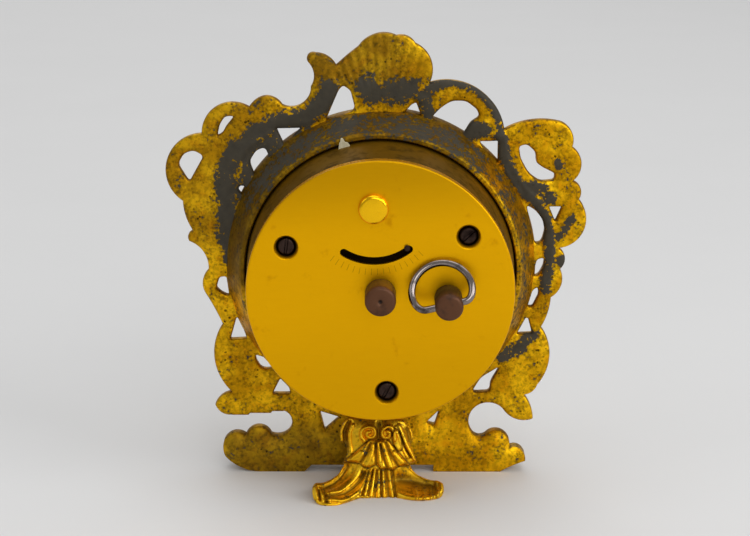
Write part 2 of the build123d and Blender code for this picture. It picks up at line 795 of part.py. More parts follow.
def friction_washer():
    """Washer that clutches the hand shaft to the centre pipe."""
    start = rear_plate_face + fit
    return ring(washer_radius, hand_arbor_radius + seat, start, start + washer_thickness)


def cannon_pinion():
    """Pinion with a pipe that carries the minute hand."""
    body = pinion(cannon_teeth, cannon_module, cannon_phase, cannon_front, cannon_rear, centre)
    body += disc(cannon_pipe, minute_hand_front, cannon_rear)
    return body - disc(hand_arbor_radius + seat, minute_hand_front - overrun, cannon_rear + overrun)


def centre_pinion():
    """Hollow pinion that the barrel drives, with its pipe and pivots."""
    start = depth(barrel_start_share)
    body = arbor(centre, centre_pipe_radius, centre_pivot_radius)
    body += pinion(centre_pinion_teeth, barrel_module, centre_pinion_phase, start - pinion_overlap,
                   start + barrel_gear_thickness + pinion_overlap, centre)
    return body - disc(hand_arbor_radius + fit, front_plate_face - overrun, rear_plate_face + overrun)


def centre_wheel():
    """Wheel on the centre pipe."""
    start = depth(centre_share)
    return wheel(centre_teeth, centre_module, centre_phase, centre_pipe_radius + seat, start,
                 start + wheel_thickness, centre)


def train_arbor(at, teeth, module, phase, share):
    """Arbor with the pinion that meshes with the wheel at a share of the gap."""
    start = depth(share) - pinion_overlap
    end = depth(share) + wheel_thickness + pinion_overlap
    return arbor(at) + pinion(teeth, module, phase, start, end, at)


def train_wheel(at, teeth, module, phase, share):
    """Wheel of the train at a share of the gap."""
    start = depth(share)
    return wheel(teeth, module, phase, arbor_radius + seat, start, start + wheel_thickness, at)


def minute_stud():
    """Stud on the front plate that carries the minute wheel."""
    return disc(minute_stud_radius, minute_pinion_front, front_inner, minute_at)


def minute_wheel():
    """Wheel that the cannon pinion drives."""
    bore = minute_stud_radius + fit
    return wheel(minute_teeth, cannon_module, minute_phase, bore, minute_front, minute_rear, minute_at)


def minute_pinion():
    """Pinion on the minute wheel that drives the hour wheel."""
    start = minute_pinion_front
    body = pinion(minute_pinion_teeth, hour_module, minute_pinion_phase, start, minute_front, minute_at)
    return body - disc(minute_stud_radius + fit, start - overrun, minute_front + overrun, minute_at)


def hour_wheel():
    """Wheel with the pipe that carries the hour hand."""
    body = wheel(hour_teeth, hour_module, hour_phase, cannon_pipe + fit, hour_front, hour_rear, centre)
    return body + ring(hour_pipe, cannon_pipe + fit, hour_hand_front, hour_rear)


def barrel():
    """Spring barrel with its toothed floor."""
    start = depth(barrel_start_share)
    floor_end = start + barrel_gear_thickness
    face = toothed(barrel_teeth, barrel_module, barrel_phase, wheel_tooth_shares)
    face -= Circle(winding_radius + fit)
    teeth = Pos(barrel_at[0], barrel_at[1], start) * extrude(face, barrel_gear_thickness)
    outer = barrel_outer()
    wall_end = depth(barrel_end_share) - barrel_lid
    return teeth + ring(outer, outer - barrel_wall, floor_end, wall_end, barrel_at)


def barrel_outer():
    """Outer radius of the barrel's wall."""
    return barrel_module * (barrel_teeth / 2 - dedendum_share) - barrel_root_gap


def barrel_cover():
    """Lid of the barrel."""
    end = depth(barrel_end_share)
    return ring(barrel_outer(), winding_radius + fit, end - barrel_lid, end, barrel_at)


def mainspring():
    """Wound spring strip inside the barrel."""
    start = depth(barrel_start_share) + barrel_gear_thickness + spring_gap
    end = depth(barrel_end_share) - barrel_lid - spring_gap
    inner = spring_hub_radius + 2 * spring_gap + mainspring_thickness
    outer = barrel_outer() - barrel_wall - fit - mainspring_thickness
    return spiral(inner, outer, mainspring_turns, mainspring_thickness, start, end, barrel_at)


def barrel_arbor():
    """Winding shaft with the hub that the spring hooks on."""
    body = disc(winding_radius, front_plate_face, knob_base + key_bore_depth - shake, barrel_at)
    start = depth(barrel_start_share) + barrel_gear_thickness + shake
    return body + disc(spring_hub_radius, start, depth(barrel_end_share) - barrel_lid - shake, barrel_at)


def ratchet_wheel():
    """Saw toothed wheel on the winding shaft, behind the rear plate."""
    pitch = 360 / ratchet_teeth
    corners = []
    for tooth in range(ratchet_teeth):
        corners.append(polar(ratchet_radius, tooth * pitch))
        corners.append(polar(ratchet_radius - ratchet_depth, tooth * pitch))
    face = make_face(Polyline(*corners, close=True)) - Circle(winding_radius + seat)
    return Pos(barrel_at[0], barrel_at[1], rear_plate_face + shake) * extrude(face, ratchet_thickness)


def click_tip():
    """Point of the click, just clear of the ratchet's teeth."""
    return polar(ratchet_radius + click_gap, click_angle - click_lead, barrel_at)


def click():
    """Pawl that lies against the ratchet."""
    start = rear_plate_face + shake
    end = start + click_thickness
    tip = click_tip()
    side = heading(click_at, tip)
    corners = [polar(click_width, side - 90, click_at), tip, polar(click_width, side + 90, click_at)]
    blade = make_face(Polyline(*corners, close=True))
    body = Pos(0, 0, start) * extrude(blade, click_thickness) + disc(click_hub, start, end, click_at)
    return body - disc(click_screw_radius + fit, start - overrun, end + overrun, click_at)


def click_screw():
    """Shouldered screw that the click turns on."""
    top = rear_plate_face + 2 * shake + click_thickness
    head = disc(click_screw_head, top, top + click_screw_head_height, click_at)
    return head + disc(click_screw_radius, rear_inner, top, click_at)


def click_spring():
    """Flat spring that presses the click, on a foot on the rear plate."""
    side = heading(click_at, click_tip())
    near = polar(click_hub + seat_clearance + click_spring_thickness / 2, side - 90, click_at)
    far = polar(click_spring_length, side + 180, near)
    start = rear_plate_face + shake
    strip = bar(near, far, click_spring_thickness, start, start + click_thickness)
    return strip + disc(click_spring_foot / 2, rear_plate_face, start + click_thickness, far)


def escape_wheel():
    """Wheel with pointed teeth, on the escape arbor."""
    pitch = 360 / escape_teeth
    corners = []
    for tooth in range(escape_teeth):
        corners.append(polar(escape_radius, tooth * pitch))
        corners.append(polar(escape_radius - escape_tooth_depth, tooth * pitch + pitch / 6))
        corners.append(polar(escape_radius - escape_tooth_depth, tooth * pitch + pitch * 3 / 4))
    face = make_face(Polyline(*corners, close=True)) - Circle(arbor_radius + seat)
    start = depth(escape_share)
    return Pos(escape_at[0], escape_at[1], start) * extrude(face, wheel_thickness)


def pallet_pin_places():
    """Places of the two pallet pins, just outside the escape wheel."""
    toward = heading(escape_at, pallet_at)
    reach = escape_radius + pallet_pin_gap
    return [polar(reach, toward + sign * pallet_pin_spread, escape_at) for sign in (-1, 1)]


def pallet_lever():
    """Lever with an arm to each pallet pin and one to the balance."""
    start = depth(pallet_share)
    end = start + wheel_thickness
    body = disc(pallet_hub, start, end, pallet_at)
    for at in pallet_pin_places():
        body += bar(pallet_at, at, pallet_width, start, end) + disc(pallet_width / 2, start, end, at)
    reach = math.dist(pallet_at, balance_at) - impulse_radius - impulse_pin_radius - fork_gap
    fork = polar(reach, heading(pallet_at, balance_at), pallet_at)
    body += bar(pallet_at, fork, pallet_width, start, end)
    for at in pallet_pin_places():
        body -= disc(pallet_pin_radius + seat, start - overrun, end + overrun, at)
    return body - disc(arbor_radius + seat, start - overrun, end + overrun, pallet_at)


def pallet_pins():
    """Steel pins of the lever that the escape wheel's teeth push."""
    end = depth(pallet_share) + wheel_thickness
    return [disc(pallet_pin_radius, depth(escape_share), end, at) for at in pallet_pin_places()]


def balance_wheel():
    """Rim with one cross arm and a hub."""
    start = depth(balance_share)
    end = start + wheel_thickness
    body = ring(balance_radius, balance_radius - balance_rim, start, end, balance_at)
    reach = balance_radius - balance_rim / 2
    left = (balance_at[0] - reach, balance_at[1])
    right = (balance_at[0] + reach, balance_at[1])
    body += bar(left, right, balance_arm, start, end) + disc(balance_hub, start, end, balance_at)
    return body - disc(staff_radius + seat, start - overrun, end + overrun, balance_at)


def balance_staff():
    """Staff of the balance with the collet for the hairspring."""
    start = depth(hairspring_share)
    collet = disc(collet_radius, start, start + hairspring_width, balance_at)
    return arbor(balance_at, staff_radius, staff_pivot_radius) + collet


def impulse_roller():
    """Disc on the staff with the pin that the lever's fork drives."""
    start = depth(roller_share)
    body = ring(roller_radius, staff_radius + seat, start, start + roller_thickness, balance_at)
    at = polar(impulse_radius, heading(balance_at, pallet_at), balance_at)
    return body + disc(impulse_pin_radius, depth(pallet_share), start, at)


def hairspring():
    """Fine flat spiral round the staff's collet."""
    start = depth(hairspring_share)
    return spiral(collet_radius + spring_gap + hairspring_thickness, hairspring_radius, hairspring_turns,
                  hairspring_thickness, start, start + hairspring_width, balance_at)


def hairspring_stud():
    """Block on the rear plate that holds the outer end of the hairspring."""
    start = depth(hairspring_share)
    place = Pos(balance_at[0] - hairspring_radius - stud_width / 4, balance_at[1] + stud_width / 2, start)
    return place * Box(stud_width, stud_width, rear_inner - start, align=stand_up)


def regulator_index():
    """Lever that turns on the bush, with a pin that stands through the cover's slot."""
    start = rear_plate_face + shake
    end = start + index_thickness
    tip = polar(slot_radius, -90 + index_rest_angle, balance_at)
    body = disc(index_hub, start, end, balance_at) + bar(balance_at, tip, index_width, start, end)
    body += disc(index_width / 2, start, end, tip)
    body += disc(index_pin_radius, start, cover_face + index_proud, tip)
    return body - disc(index_bush + fit, start - overrun, end + overrun, balance_at)


def hinge_frame():
    """Frame at the key's cross hole: x along the hole, z towards the back."""
    return Pos(barrel_at[0], barrel_at[1], hinge_depth) * Rot(0, 0, ring_turn - movement_turn)


def winding_key():
    """Round winding stem with a cross hole for its ring."""
    body = disc(key_radius, knob_base, key_end, barrel_at)
    body = fillet(body.edges().sort_by(Axis.Z)[-1], key_fillet)
    body -= disc(winding_radius + seat, knob_base - overrun, knob_base + key_bore_depth, barrel_at)
    return body - hinge_frame() * Rot(0, 90, 0) * Cylinder(ring_wire_radius + fit, 4 * key_radius)


def key_ring():
    """Bowed wire ring with a bar through the stem, folded until it leans on the cover."""
    bar_left = (-key_radius - ring_bar_share * ring_gap_left, 0)
    bar_right = (key_radius + ring_bar_share * ring_gap_right, 0)
    left = (-key_radius - ring_gap_left, ring_side_share * ring_reach)
    right = (key_radius + ring_gap_right, ring_side_share * ring_reach)
    crown = ((left[0] + right[0]) / 2, ring_reach)
    bow = Spline(bar_right, right, crown, left, bar_left,
                 tangents=[(1, 0), (0, 1), (-1, 0), (0, -1), (1, 0)])
    path = Wire([Line(bar_left, bar_right).edge(), bow.edge()])
    section = Plane(origin=(bar_left[0], 0, 0), x_dir=(0, 1, 0), z_dir=(1, 0, 0)) * Circle(ring_wire_radius)
    return hinge_frame() * Rot(-ring_lean, 0, 0) * sweep(section, path)


case_nodes = {
    "frame_casting": frame_casting(),
    "rear_foot": rear_foot(),
    "foot_screws": foot_screws(),
    "drum_case": drum_case(),
    "packing_wedge": packing_wedge(),
    "bezel": bezel(),
    "crystal": crystal(),
    "crystal_ring": crystal_ring(),
}
movement_nodes = {
    "back_cover": back_cover(),
    "cover_screws": cover_screws(),
    "balance_cap": balance_cap(),
    "dial": dial(),
    "front_plate": front_plate(),
    "rear_plate": rear_plate(),
    "pillars": pillars(),
    "pillar_nuts": pillar_nuts(),
    "cover_posts": cover_posts(),
    "centre_arbor": centre_arbor(),
    "setting_knob": setting_knob(),
    "friction_washer": friction_washer(),
    "cannon_pinion": cannon_pinion(),
    "minute_hand": hand(minute_hand_length, cannon_pipe + seat, minute_hand_front),
    "centre_pinion": centre_pinion(),
    "centre_wheel": centre_wheel(),
    "minute_stud": minute_stud(),
    "minute_wheel": minute_wheel(),
    "minute_pinion": minute_pinion(),
    "hour_wheel": hour_wheel(),
    "hour_hand": hand(hour_hand_length, hour_pipe + seat, hour_hand_front),
    "barrel": barrel(),
    "barrel_cover": barrel_cover(),
    "mainspring": mainspring(),
    "barrel_arbor": barrel_arbor(),
    "ratchet_wheel": ratchet_wheel(),
    "click": click(),
    "click_screw": click_screw(),
    "click_spring": click_spring(),
    "third_arbor": train_arbor(third_at, third_pinion_teeth, centre_module, third_pinion_phase,
                               centre_share),
    "third_wheel": train_wheel(third_at, third_teeth, third_module, third_phase, third_share),
    "fourth_arbor": train_arbor(fourth_at, fourth_pinion_teeth, third_module, fourth_pinion_phase,
                                third_share),
    "fourth_wheel": train_wheel(fourth_at, fourth_teeth, fourth_module, fourth_phase, fourth_share),
    "escape_arbor": train_arbor(escape_at, escape_pinion_teeth, fourth_module, escape_pinion_phase,
                                fourth_share),
    "escape_wheel": escape_wheel(),
    "pallet_arbor": arbor(pallet_at),
    "pallet_lever": pallet_lever(),
    "pallet_pins": pallet_pins(),
    "balance_staff": balance_staff(),
    "balance_wheel": balance_wheel(),
    "impulse_roller": impulse_roller(),
    "hairspring": hairspring(),
    "hairspring_stud": hairspring_stud(),
    "regulator_index": regulator_index(),
    "winding_key": winding_key(),
    "key_ring": key_ring(),
}

# The finished clock stands on the floor with the middle of its plan at the origin: x turns round
# because it was drawn from the back, and the depth becomes y.
extent = case_nodes["frame_casting"].bounding_box()
shift_x = (extent.min.X + extent.max.X) / 2
shift_y = -(bezel_front + key_end) / 2
place = Plane(origin=(shift_x, shift_y, axis_height), x_dir=(-1, 0, 0), z_dir=(0, 1, 0)).location
turn = Rot(0, 0, movement_turn)


def write(name, solids, location):
    """Put a node in its place and write it."""
    group = solids if isinstance(solids, list) else [solids]
    placed = [solid for body in group for solid in (location * body).solids()]
    export_step(placed[0] if len(placed) == 1 else Compound(placed), os.path.join("parts", name + ".step"))


for name, solids in case_nodes.items():
    write(name, solids, place)
for name, solids in movement_nodes.items():
    write(name, solids, place * turn)
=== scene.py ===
"""Looks of a small gilt openwork clock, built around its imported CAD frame."""
import json
import logging
import math
from dataclasses import dataclass, field
from enum import Enum
from typing import Any, Iterable, Iterator, Optional, Sequence, Union

import bpy
import numpy as np
from mathutils import Matrix, Vector
from mathutils.geometry import delaunay_2d_cdt
from mathutils.kdtree import KDTree

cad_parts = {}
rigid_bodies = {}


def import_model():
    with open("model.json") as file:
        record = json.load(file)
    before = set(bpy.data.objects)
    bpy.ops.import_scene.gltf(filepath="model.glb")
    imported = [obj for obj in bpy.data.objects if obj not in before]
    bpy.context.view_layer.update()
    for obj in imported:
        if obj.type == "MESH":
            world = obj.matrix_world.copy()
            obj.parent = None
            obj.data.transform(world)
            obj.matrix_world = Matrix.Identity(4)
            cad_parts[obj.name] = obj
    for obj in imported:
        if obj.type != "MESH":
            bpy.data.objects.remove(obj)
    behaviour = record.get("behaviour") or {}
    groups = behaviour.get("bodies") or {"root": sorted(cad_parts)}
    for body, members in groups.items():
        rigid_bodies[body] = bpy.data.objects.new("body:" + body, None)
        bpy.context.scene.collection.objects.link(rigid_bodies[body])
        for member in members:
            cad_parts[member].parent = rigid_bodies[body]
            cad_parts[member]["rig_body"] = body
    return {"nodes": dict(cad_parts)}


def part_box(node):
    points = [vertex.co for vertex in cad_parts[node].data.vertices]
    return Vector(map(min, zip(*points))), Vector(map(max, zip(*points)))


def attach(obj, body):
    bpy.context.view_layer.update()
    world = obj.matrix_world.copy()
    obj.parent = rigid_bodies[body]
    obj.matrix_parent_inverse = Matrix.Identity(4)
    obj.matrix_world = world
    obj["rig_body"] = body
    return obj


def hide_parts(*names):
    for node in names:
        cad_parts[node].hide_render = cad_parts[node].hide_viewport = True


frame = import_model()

log = logging.getLogger("clock")

MM = 0.001
MOVEMENT_TURN = 3.5
Point = Sequence[float]
Faces = Sequence[np.ndarray]


class Grain(Enum):
    """Way that a metal's surface was finished."""

    CAST = "cast"
    ROUND = "round"
    DRAWN = "drawn"


class Side(Enum):
    """Face of the frame that a stroke of ornament or wear lies on."""

    REAR = "rear"
    FRONT = "front"


def tone(red: float, green: float, blue: float) -> tuple[float, float, float, float]:
    """Linear colour from a colour as a screen shows it.

    Args:
        red: Red from 0 to 255.
        green: Green from 0 to 255.
        blue: Blue from 0 to 255.

    Returns:
        Linear red, green, blue and alpha.
    """
    shares = [value / 255 for value in (red, green, blue)]
    linear = [s / 12.92 if s <= 0.04045 else ((s + 0.055) / 1.055) ** 2.4 for s in shares]
    return (*linear, 1.0)


def polar(distance: float, angle: float, start: Point = (0.0, 0.0)) -> tuple[float, float]:
    """Point at a distance and an angle from another.

    Args:
        distance: Distance in millimetres.
        angle: Angle in degrees.
        start: Point that it is measured from.

    Returns:
        The point.
    """
    turn = math.radians(angle)
    return (start[0] + distance * math.cos(turn), start[1] + distance * math.sin(turn))


def spline(points: Sequence[Point], steps: int = 12, closed: bool = False) -> np.ndarray:
    """Smooth curve through points.

    Args:
        points: Points in two or three dimensions.
        steps: Points made for each run.
        closed: Whether the curve comes back to its start.

    Returns:
        Points along the curve.
    """
    knots = np.asarray(points, float)
    if closed:
        knots = np.vstack([knots[-1:], knots, knots[:2]])
    else:
        knots = np.vstack([2 * knots[0] - knots[1], knots, 2 * knots[-1] - knots[-2]])
    t = np.linspace(0, 1, steps, endpoint=False)[:, None]
    runs = []
    for a, b, c, d in zip(knots, knots[1:], knots[2:], knots[3:]):
        square = (2 * a - 5 * b + 4 * c - d) * t ** 2
        cube = (3 * b - a - 3 * c + d) * t ** 3
        runs.append((2 * b + (c - a) * t + square + cube) / 2)
    if not closed:
        runs.append(knots[-2:-1])
    return np.vstack(runs)


def arc(start: Point, crown: Point, end: Point, step: float) -> np.ndarray:
    """Points of the arc through three points, without its end.

    Args:
        start: First point.
        crown: Point on the arc.
        end: Last point.
        step: Distance between the points.

    Returns:
        Points along the arc.
    """
    a, b, c = (complex(*p) for p in (start, crown, end))
    w = (c - a) / (b - a)
    middle = a + (b - a) * (w - abs(w) ** 2) / (2j * w.imag)
    sweep = (np.angle((c - middle) / (a - middle))) % math.tau
    via = (np.angle((b - middle) / (a - middle))) % math.tau
    if via > sweep:
        sweep -= math.tau
    count = max(2, math.ceil(abs(sweep) * abs(a - middle) / step))
    turns = np.exp(1j * sweep * np.arange(count) / count)
    found = middle + (a - middle) * turns
    return np.column_stack([found.real, found.imag])


def circle(radius: float, count: int, at: Point = (0.0, 0.0)) -> np.ndarray:
    """Points round a circle."""
    turns = math.tau * np.arange(count) / count
    return np.column_stack([at[0] + radius * np.cos(turns), at[1] + radius * np.sin(turns)])


def blunted(corners: Sequence[Point], cut: float, step: float) -> np.ndarray:
    """Closed loop with its corners blunted and points set along its sides.

    Args:
        corners: Corners of the loop.
        cut: Length that the blunting takes from each side.
        step: Distance between the points.

    Returns:
        Points of the loop.
    """
    loop = np.asarray(corners, float)
    runs = []
    for before, corner, after in zip(np.roll(loop, 1, axis=0), loop, np.roll(loop, -1, axis=0)):
        enter, leave = (end - corner for end in (before, after))
        reach = min(cut, 0.4 * float(np.linalg.norm(enter)), 0.4 * float(np.linalg.norm(leave)))
        start = corner + enter * reach / np.linalg.norm(enter)
        end = corner + leave * reach / np.linalg.norm(leave)
        t = np.linspace(0, 1, 5)[:, None]
        runs.append((1 - t) ** 2 * start + 2 * t * (1 - t) * corner + t ** 2 * end)
    ends = np.roll(np.array([run[0] for run in runs]), -1, axis=0)
    for i, end in enumerate(ends):
        gap = end - runs[i][-1]
        count = int(np.linalg.norm(gap) / step)
        shares = np.arange(1, count + 1)[:, None] / (count + 1)
        runs[i] = np.vstack([runs[i], runs[i][-1] + shares * gap])
    return np.vstack(runs)


def inside(points: np.ndarray, loop: np.ndarray) -> np.ndarray:
    """Whether each point lies inside a closed loop.

    Args:
        points: Points in two dimensions.
        loop: Corners of the loop.

    Returns:
        One truth value for each point.
    """
    x, y = points[:, 0], points[:, 1]
    found = np.zeros(len(points), bool)
    for (x0, y0), (x1, y1) in zip(loop, np.roll(loop, -1, axis=0)):
        if y0 != y1:
            crosses = (y0 > y) != (y1 > y)
            found ^= crosses & (x < (x1 - x0) * (y - y0) / (y1 - y0) + x0)
    return found


def ease(values: np.ndarray, low: float, high: float) -> np.ndarray:
    """Smooth step from 0 at the low value to 1 at the high one."""
    t = np.clip((values - low) / (high - low), 0, 1)
    return t * t * (3 - 2 * t)


def pillow(values: np.ndarray, width: float) -> np.ndarray:
    """Quarter round from 0 at an edge to 1 at the width given."""
    return np.sqrt(1 - (1 - np.clip(values / width, 0, 1)) ** 2)


def stroke_distance(points: np.ndarray, line: np.ndarray) -> np.ndarray:
    """Distance of points from a line of short runs.

    Args:
        points: Points in two dimensions.
        line: Points of the line.

    Returns:
        One distance for each point.
    """
    nearest = np.full(len(points), np.inf)
    for start, end in zip(line, line[1:]):
        run = end - start
        share = np.clip(((points - start) @ run) / max(run @ run, 1e-9), 0, 1)
        gap = np.linalg.norm(points - start - share[:, None] * run, axis=1)
        nearest = np.minimum(nearest, gap)
    return nearest


@dataclass(frozen=True)
class Drawing:
    """Frame that the clock is drawn in: millimetres from the dial's axis, seen from the back.

    Attributes:
        axis_x: Place of the axis across the clock, in metres.
        axis_z: Height of the axis, in metres.
        zero_y: Place of the middle of the frame's plate, in metres.
        turn: Degrees that what is drawn turns about the axis.
    """

    axis_x: float
    axis_z: float
    zero_y: float
    turn: float = 0.0

    @classmethod
    def of_case(cls, cover_face: float, turn: float = 0.0) -> "Drawing":
        """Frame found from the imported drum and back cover.

        Args:
            cover_face: Depth of the cover's rear face in the drawing.
            turn: Degrees that what is drawn turns about the axis.

        Returns:
            The frame.
        """
        low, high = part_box("drum_case")
        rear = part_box("back_cover")[1].y
        return cls((low.x + high.x) / 2, (low.z + high.z) / 2, rear - cover_face * MM, turn)

    @property
    def matrix(self) -> Matrix:
        """Matrix from the drawing to the clock's own frame."""
        rows = ((-MM, 0, 0, self.axis_x), (0, 0, MM, self.zero_y), (0, MM, 0, self.axis_z), (0, 0, 0, 1))
        return Matrix(rows) @ Matrix.Rotation(math.radians(self.turn), 4, "Z")


class Shape:
    """Mesh being made in the drawing's millimetres, from closed shells."""

    def __init__(self) -> None:
        """Starts with no points and no faces."""
        self.points = np.zeros((0, 3))
        self.faces: list[np.ndarray] = []
        self.tags: dict[str, np.ndarray] = {}

    def add(self, points: np.ndarray, faces: Faces, **tags: Any) -> "Shape":
        """Adds a closed shell and turns its faces outwards.

        Args:
            points: Points of the shell.
            faces: Blocks of faces with the same number of corners.
            **tags: Values at the points, one or one for each.

        Returns:
            This shape.
        """
        start, count = len(self.points), len(points)
        volume = 0.0
        for block in faces:
            for k in range(1, block.shape[1] - 1):
                a, b, c = (points[block[:, i]] for i in (0, k, k + 1))
                volume += float(np.einsum("ij,ij->i", a, np.cross(b, c)).sum())
        for block in faces:
            self.faces.append((block if volume >= 0 else block[:, ::-1]) + start)
        for name in set(self.tags) | set(tags):
            old = self.tags.get(name, np.zeros(start))
            new = np.broadcast_to(np.asarray(tags.get(name, 0.0), float), (count,))
            self.tags[name] = np.concatenate([old, new])
        self.points = np.vstack([self.points, points])
        return self

    def turned(self, profile: Sequence[Point], segments: int = 160, at: Point = (0.0, 0.0),
               **tags: Any) -> "Shape":
        """Adds a shell turned about an axis along the depth.

        Args:
            profile: Radius and depth of its section, closed on itself or from axis to axis.
            segments: Steps round the axis.
            at: Place of the axis.
            **tags: Values at the points.

        Returns:
            This shape.
        """
        section = np.asarray(profile, float)
        poles = section[0, 0] == 0
        ring = circle(1.0, segments)
        rows = [np.column_stack([at[0] + r * ring[:, 0], at[1] + r * ring[:, 1], np.full(segments, d)])
                for r, d in section]
        index = np.arange(len(section) * segments).reshape(len(section), segments)
        if poles:
            index[0, :], index[-1, :] = index[0, 0], index[-1, 0]
            lower, upper = index[:-1], index[1:]
        else:
            lower, upper = index, np.roll(index, -1, axis=0)
        sides = np.stack([lower, np.roll(lower, -1, 1), np.roll(upper, -1, 1), upper], axis=-1)
        points = np.vstack(rows)
        if not poles:
            return self.add(points, [sides.reshape(-1, 4)], **tags)
        kept, renumbered = np.unique(sides, return_inverse=True)
        sides = renumbered.reshape(sides.shape)
        caps = [sides[0][:, [0, 2, 3]], sides[-1][:, [0, 1, 2]]]
        return self.add(points[kept], [sides[1:-1].reshape(-1, 4), *caps], **tags)

    def tube(self, path: np.ndarray, radii: Union[float, Sequence[float]], sides: int = 12,
             **tags: Any) -> "Shape":
        """Adds a round bar with closed ends along a path.

        Args:
            path: Points of the bar's middle line.
            radii: Radius of the bar, one or one for each point.
            sides: Faces round the bar.
            **tags: Values at the points.

        Returns:
            This shape.
        """
        path = np.asarray(path, float)
        size = np.broadcast_to(np.asarray(radii, float), (len(path),))
        along = np.gradient(path, axis=0)
        along /= np.linalg.norm(along, axis=1)[:, None]
        across = np.cross(along[0], (0.0, 0.0, 1.0) if abs(along[0][2]) < 0.9 else (1.0, 0.0, 0.0))
        ring = circle(1.0, sides)
        rows = []
        for at, way, radius in zip(path, along, size):
            across = across - (across @ way) * way
            across /= np.linalg.norm(across)
            other = np.cross(way, across)
            rows.append(at + radius * (ring[:, :1] * across + ring[:, 1:] * other))
        points = np.vstack(rows + [path[:1], path[-1:]])
        index = np.arange(len(path) * sides).reshape(len(path), sides)
        around = np.roll(index, -1, axis=1)
        walls = np.stack([index[:-1], around[:-1], around[1:], index[1:]], axis=-1).reshape(-1, 4)
        first, last = len(points) - 2, len(points) - 1
        caps = [np.column_stack([np.full(sides, first), around[0], index[0]]),
                np.column_stack([np.full(sides, last), index[-1], around[-1]])]
        return self.add(points, [walls, *caps], **tags)

    def sheet(self, rows: np.ndarray, thickness: Point, **tags: Any) -> "Shape":
        """Adds a curved sheet with a thickness.

        Args:
            rows: Grid of points of its upper face.
            thickness: Step from the upper face to the lower one.
            **tags: Values at the points.

        Returns:
            This shape.
        """
        high, wide = rows.shape[:2]
        upper = rows.reshape(-1, 3)
        points = np.vstack([upper, upper + np.asarray(thickness, float)])
        index = np.arange(high * wide).reshape(high, wide)
        cells = np.stack([index[:-1, :-1], index[:-1, 1:], index[1:, 1:], index[1:, :-1]], axis=-1)
        cells = cells.reshape(-1, 4)
        rim = np.concatenate([index[0, :-1], index[:-1, -1], index[-1, :0:-1], index[:0:-1, 0]])
        following = np.roll(rim, -1)
        step = high * wide
        walls = np.column_stack([rim, rim + step, following + step, following])
        return self.add(points, [cells, cells[:, ::-1] + step, walls], **tags)

    def prism(self, outline: np.ndarray, low: float, high: float, **tags: Any) -> "Shape":
        """Adds a flat outline with a thickness along the depth.

        Args:
            outline: Corners of the outline.
            low: Depth of its front face.
            high: Depth of its rear face.
            **tags: Values at the points.

        Returns:
            This shape.
        """
        count = len(outline)
        levels = [np.column_stack([outline, np.full(count, level)]) for level in (low, high)]
        index = np.arange(count)
        following = np.roll(index, -1)
        walls = np.column_stack([index, following, following + count, index + count])
        ends = [index[::-1][None, :], index[None, :] + count]
        return self.add(np.vstack(levels), [walls, *ends], **tags)

    def mesh(self, name: str) -> bpy.types.Mesh:
        """Mesh of the shape in the drawing's own millimetres.

        Args:
            name: Name of the mesh.

        Returns:
            The mesh.
        """
        made = bpy.data.meshes.new(name)
        made.from_pydata(self.points.tolist(), [], [row for block in self.faces for row in block.tolist()])
        for tag, values in self.tags.items():
            made.attributes.new(tag, "FLOAT", "POINT").data.foreach_set("value", values.astype(np.float32))
        return made


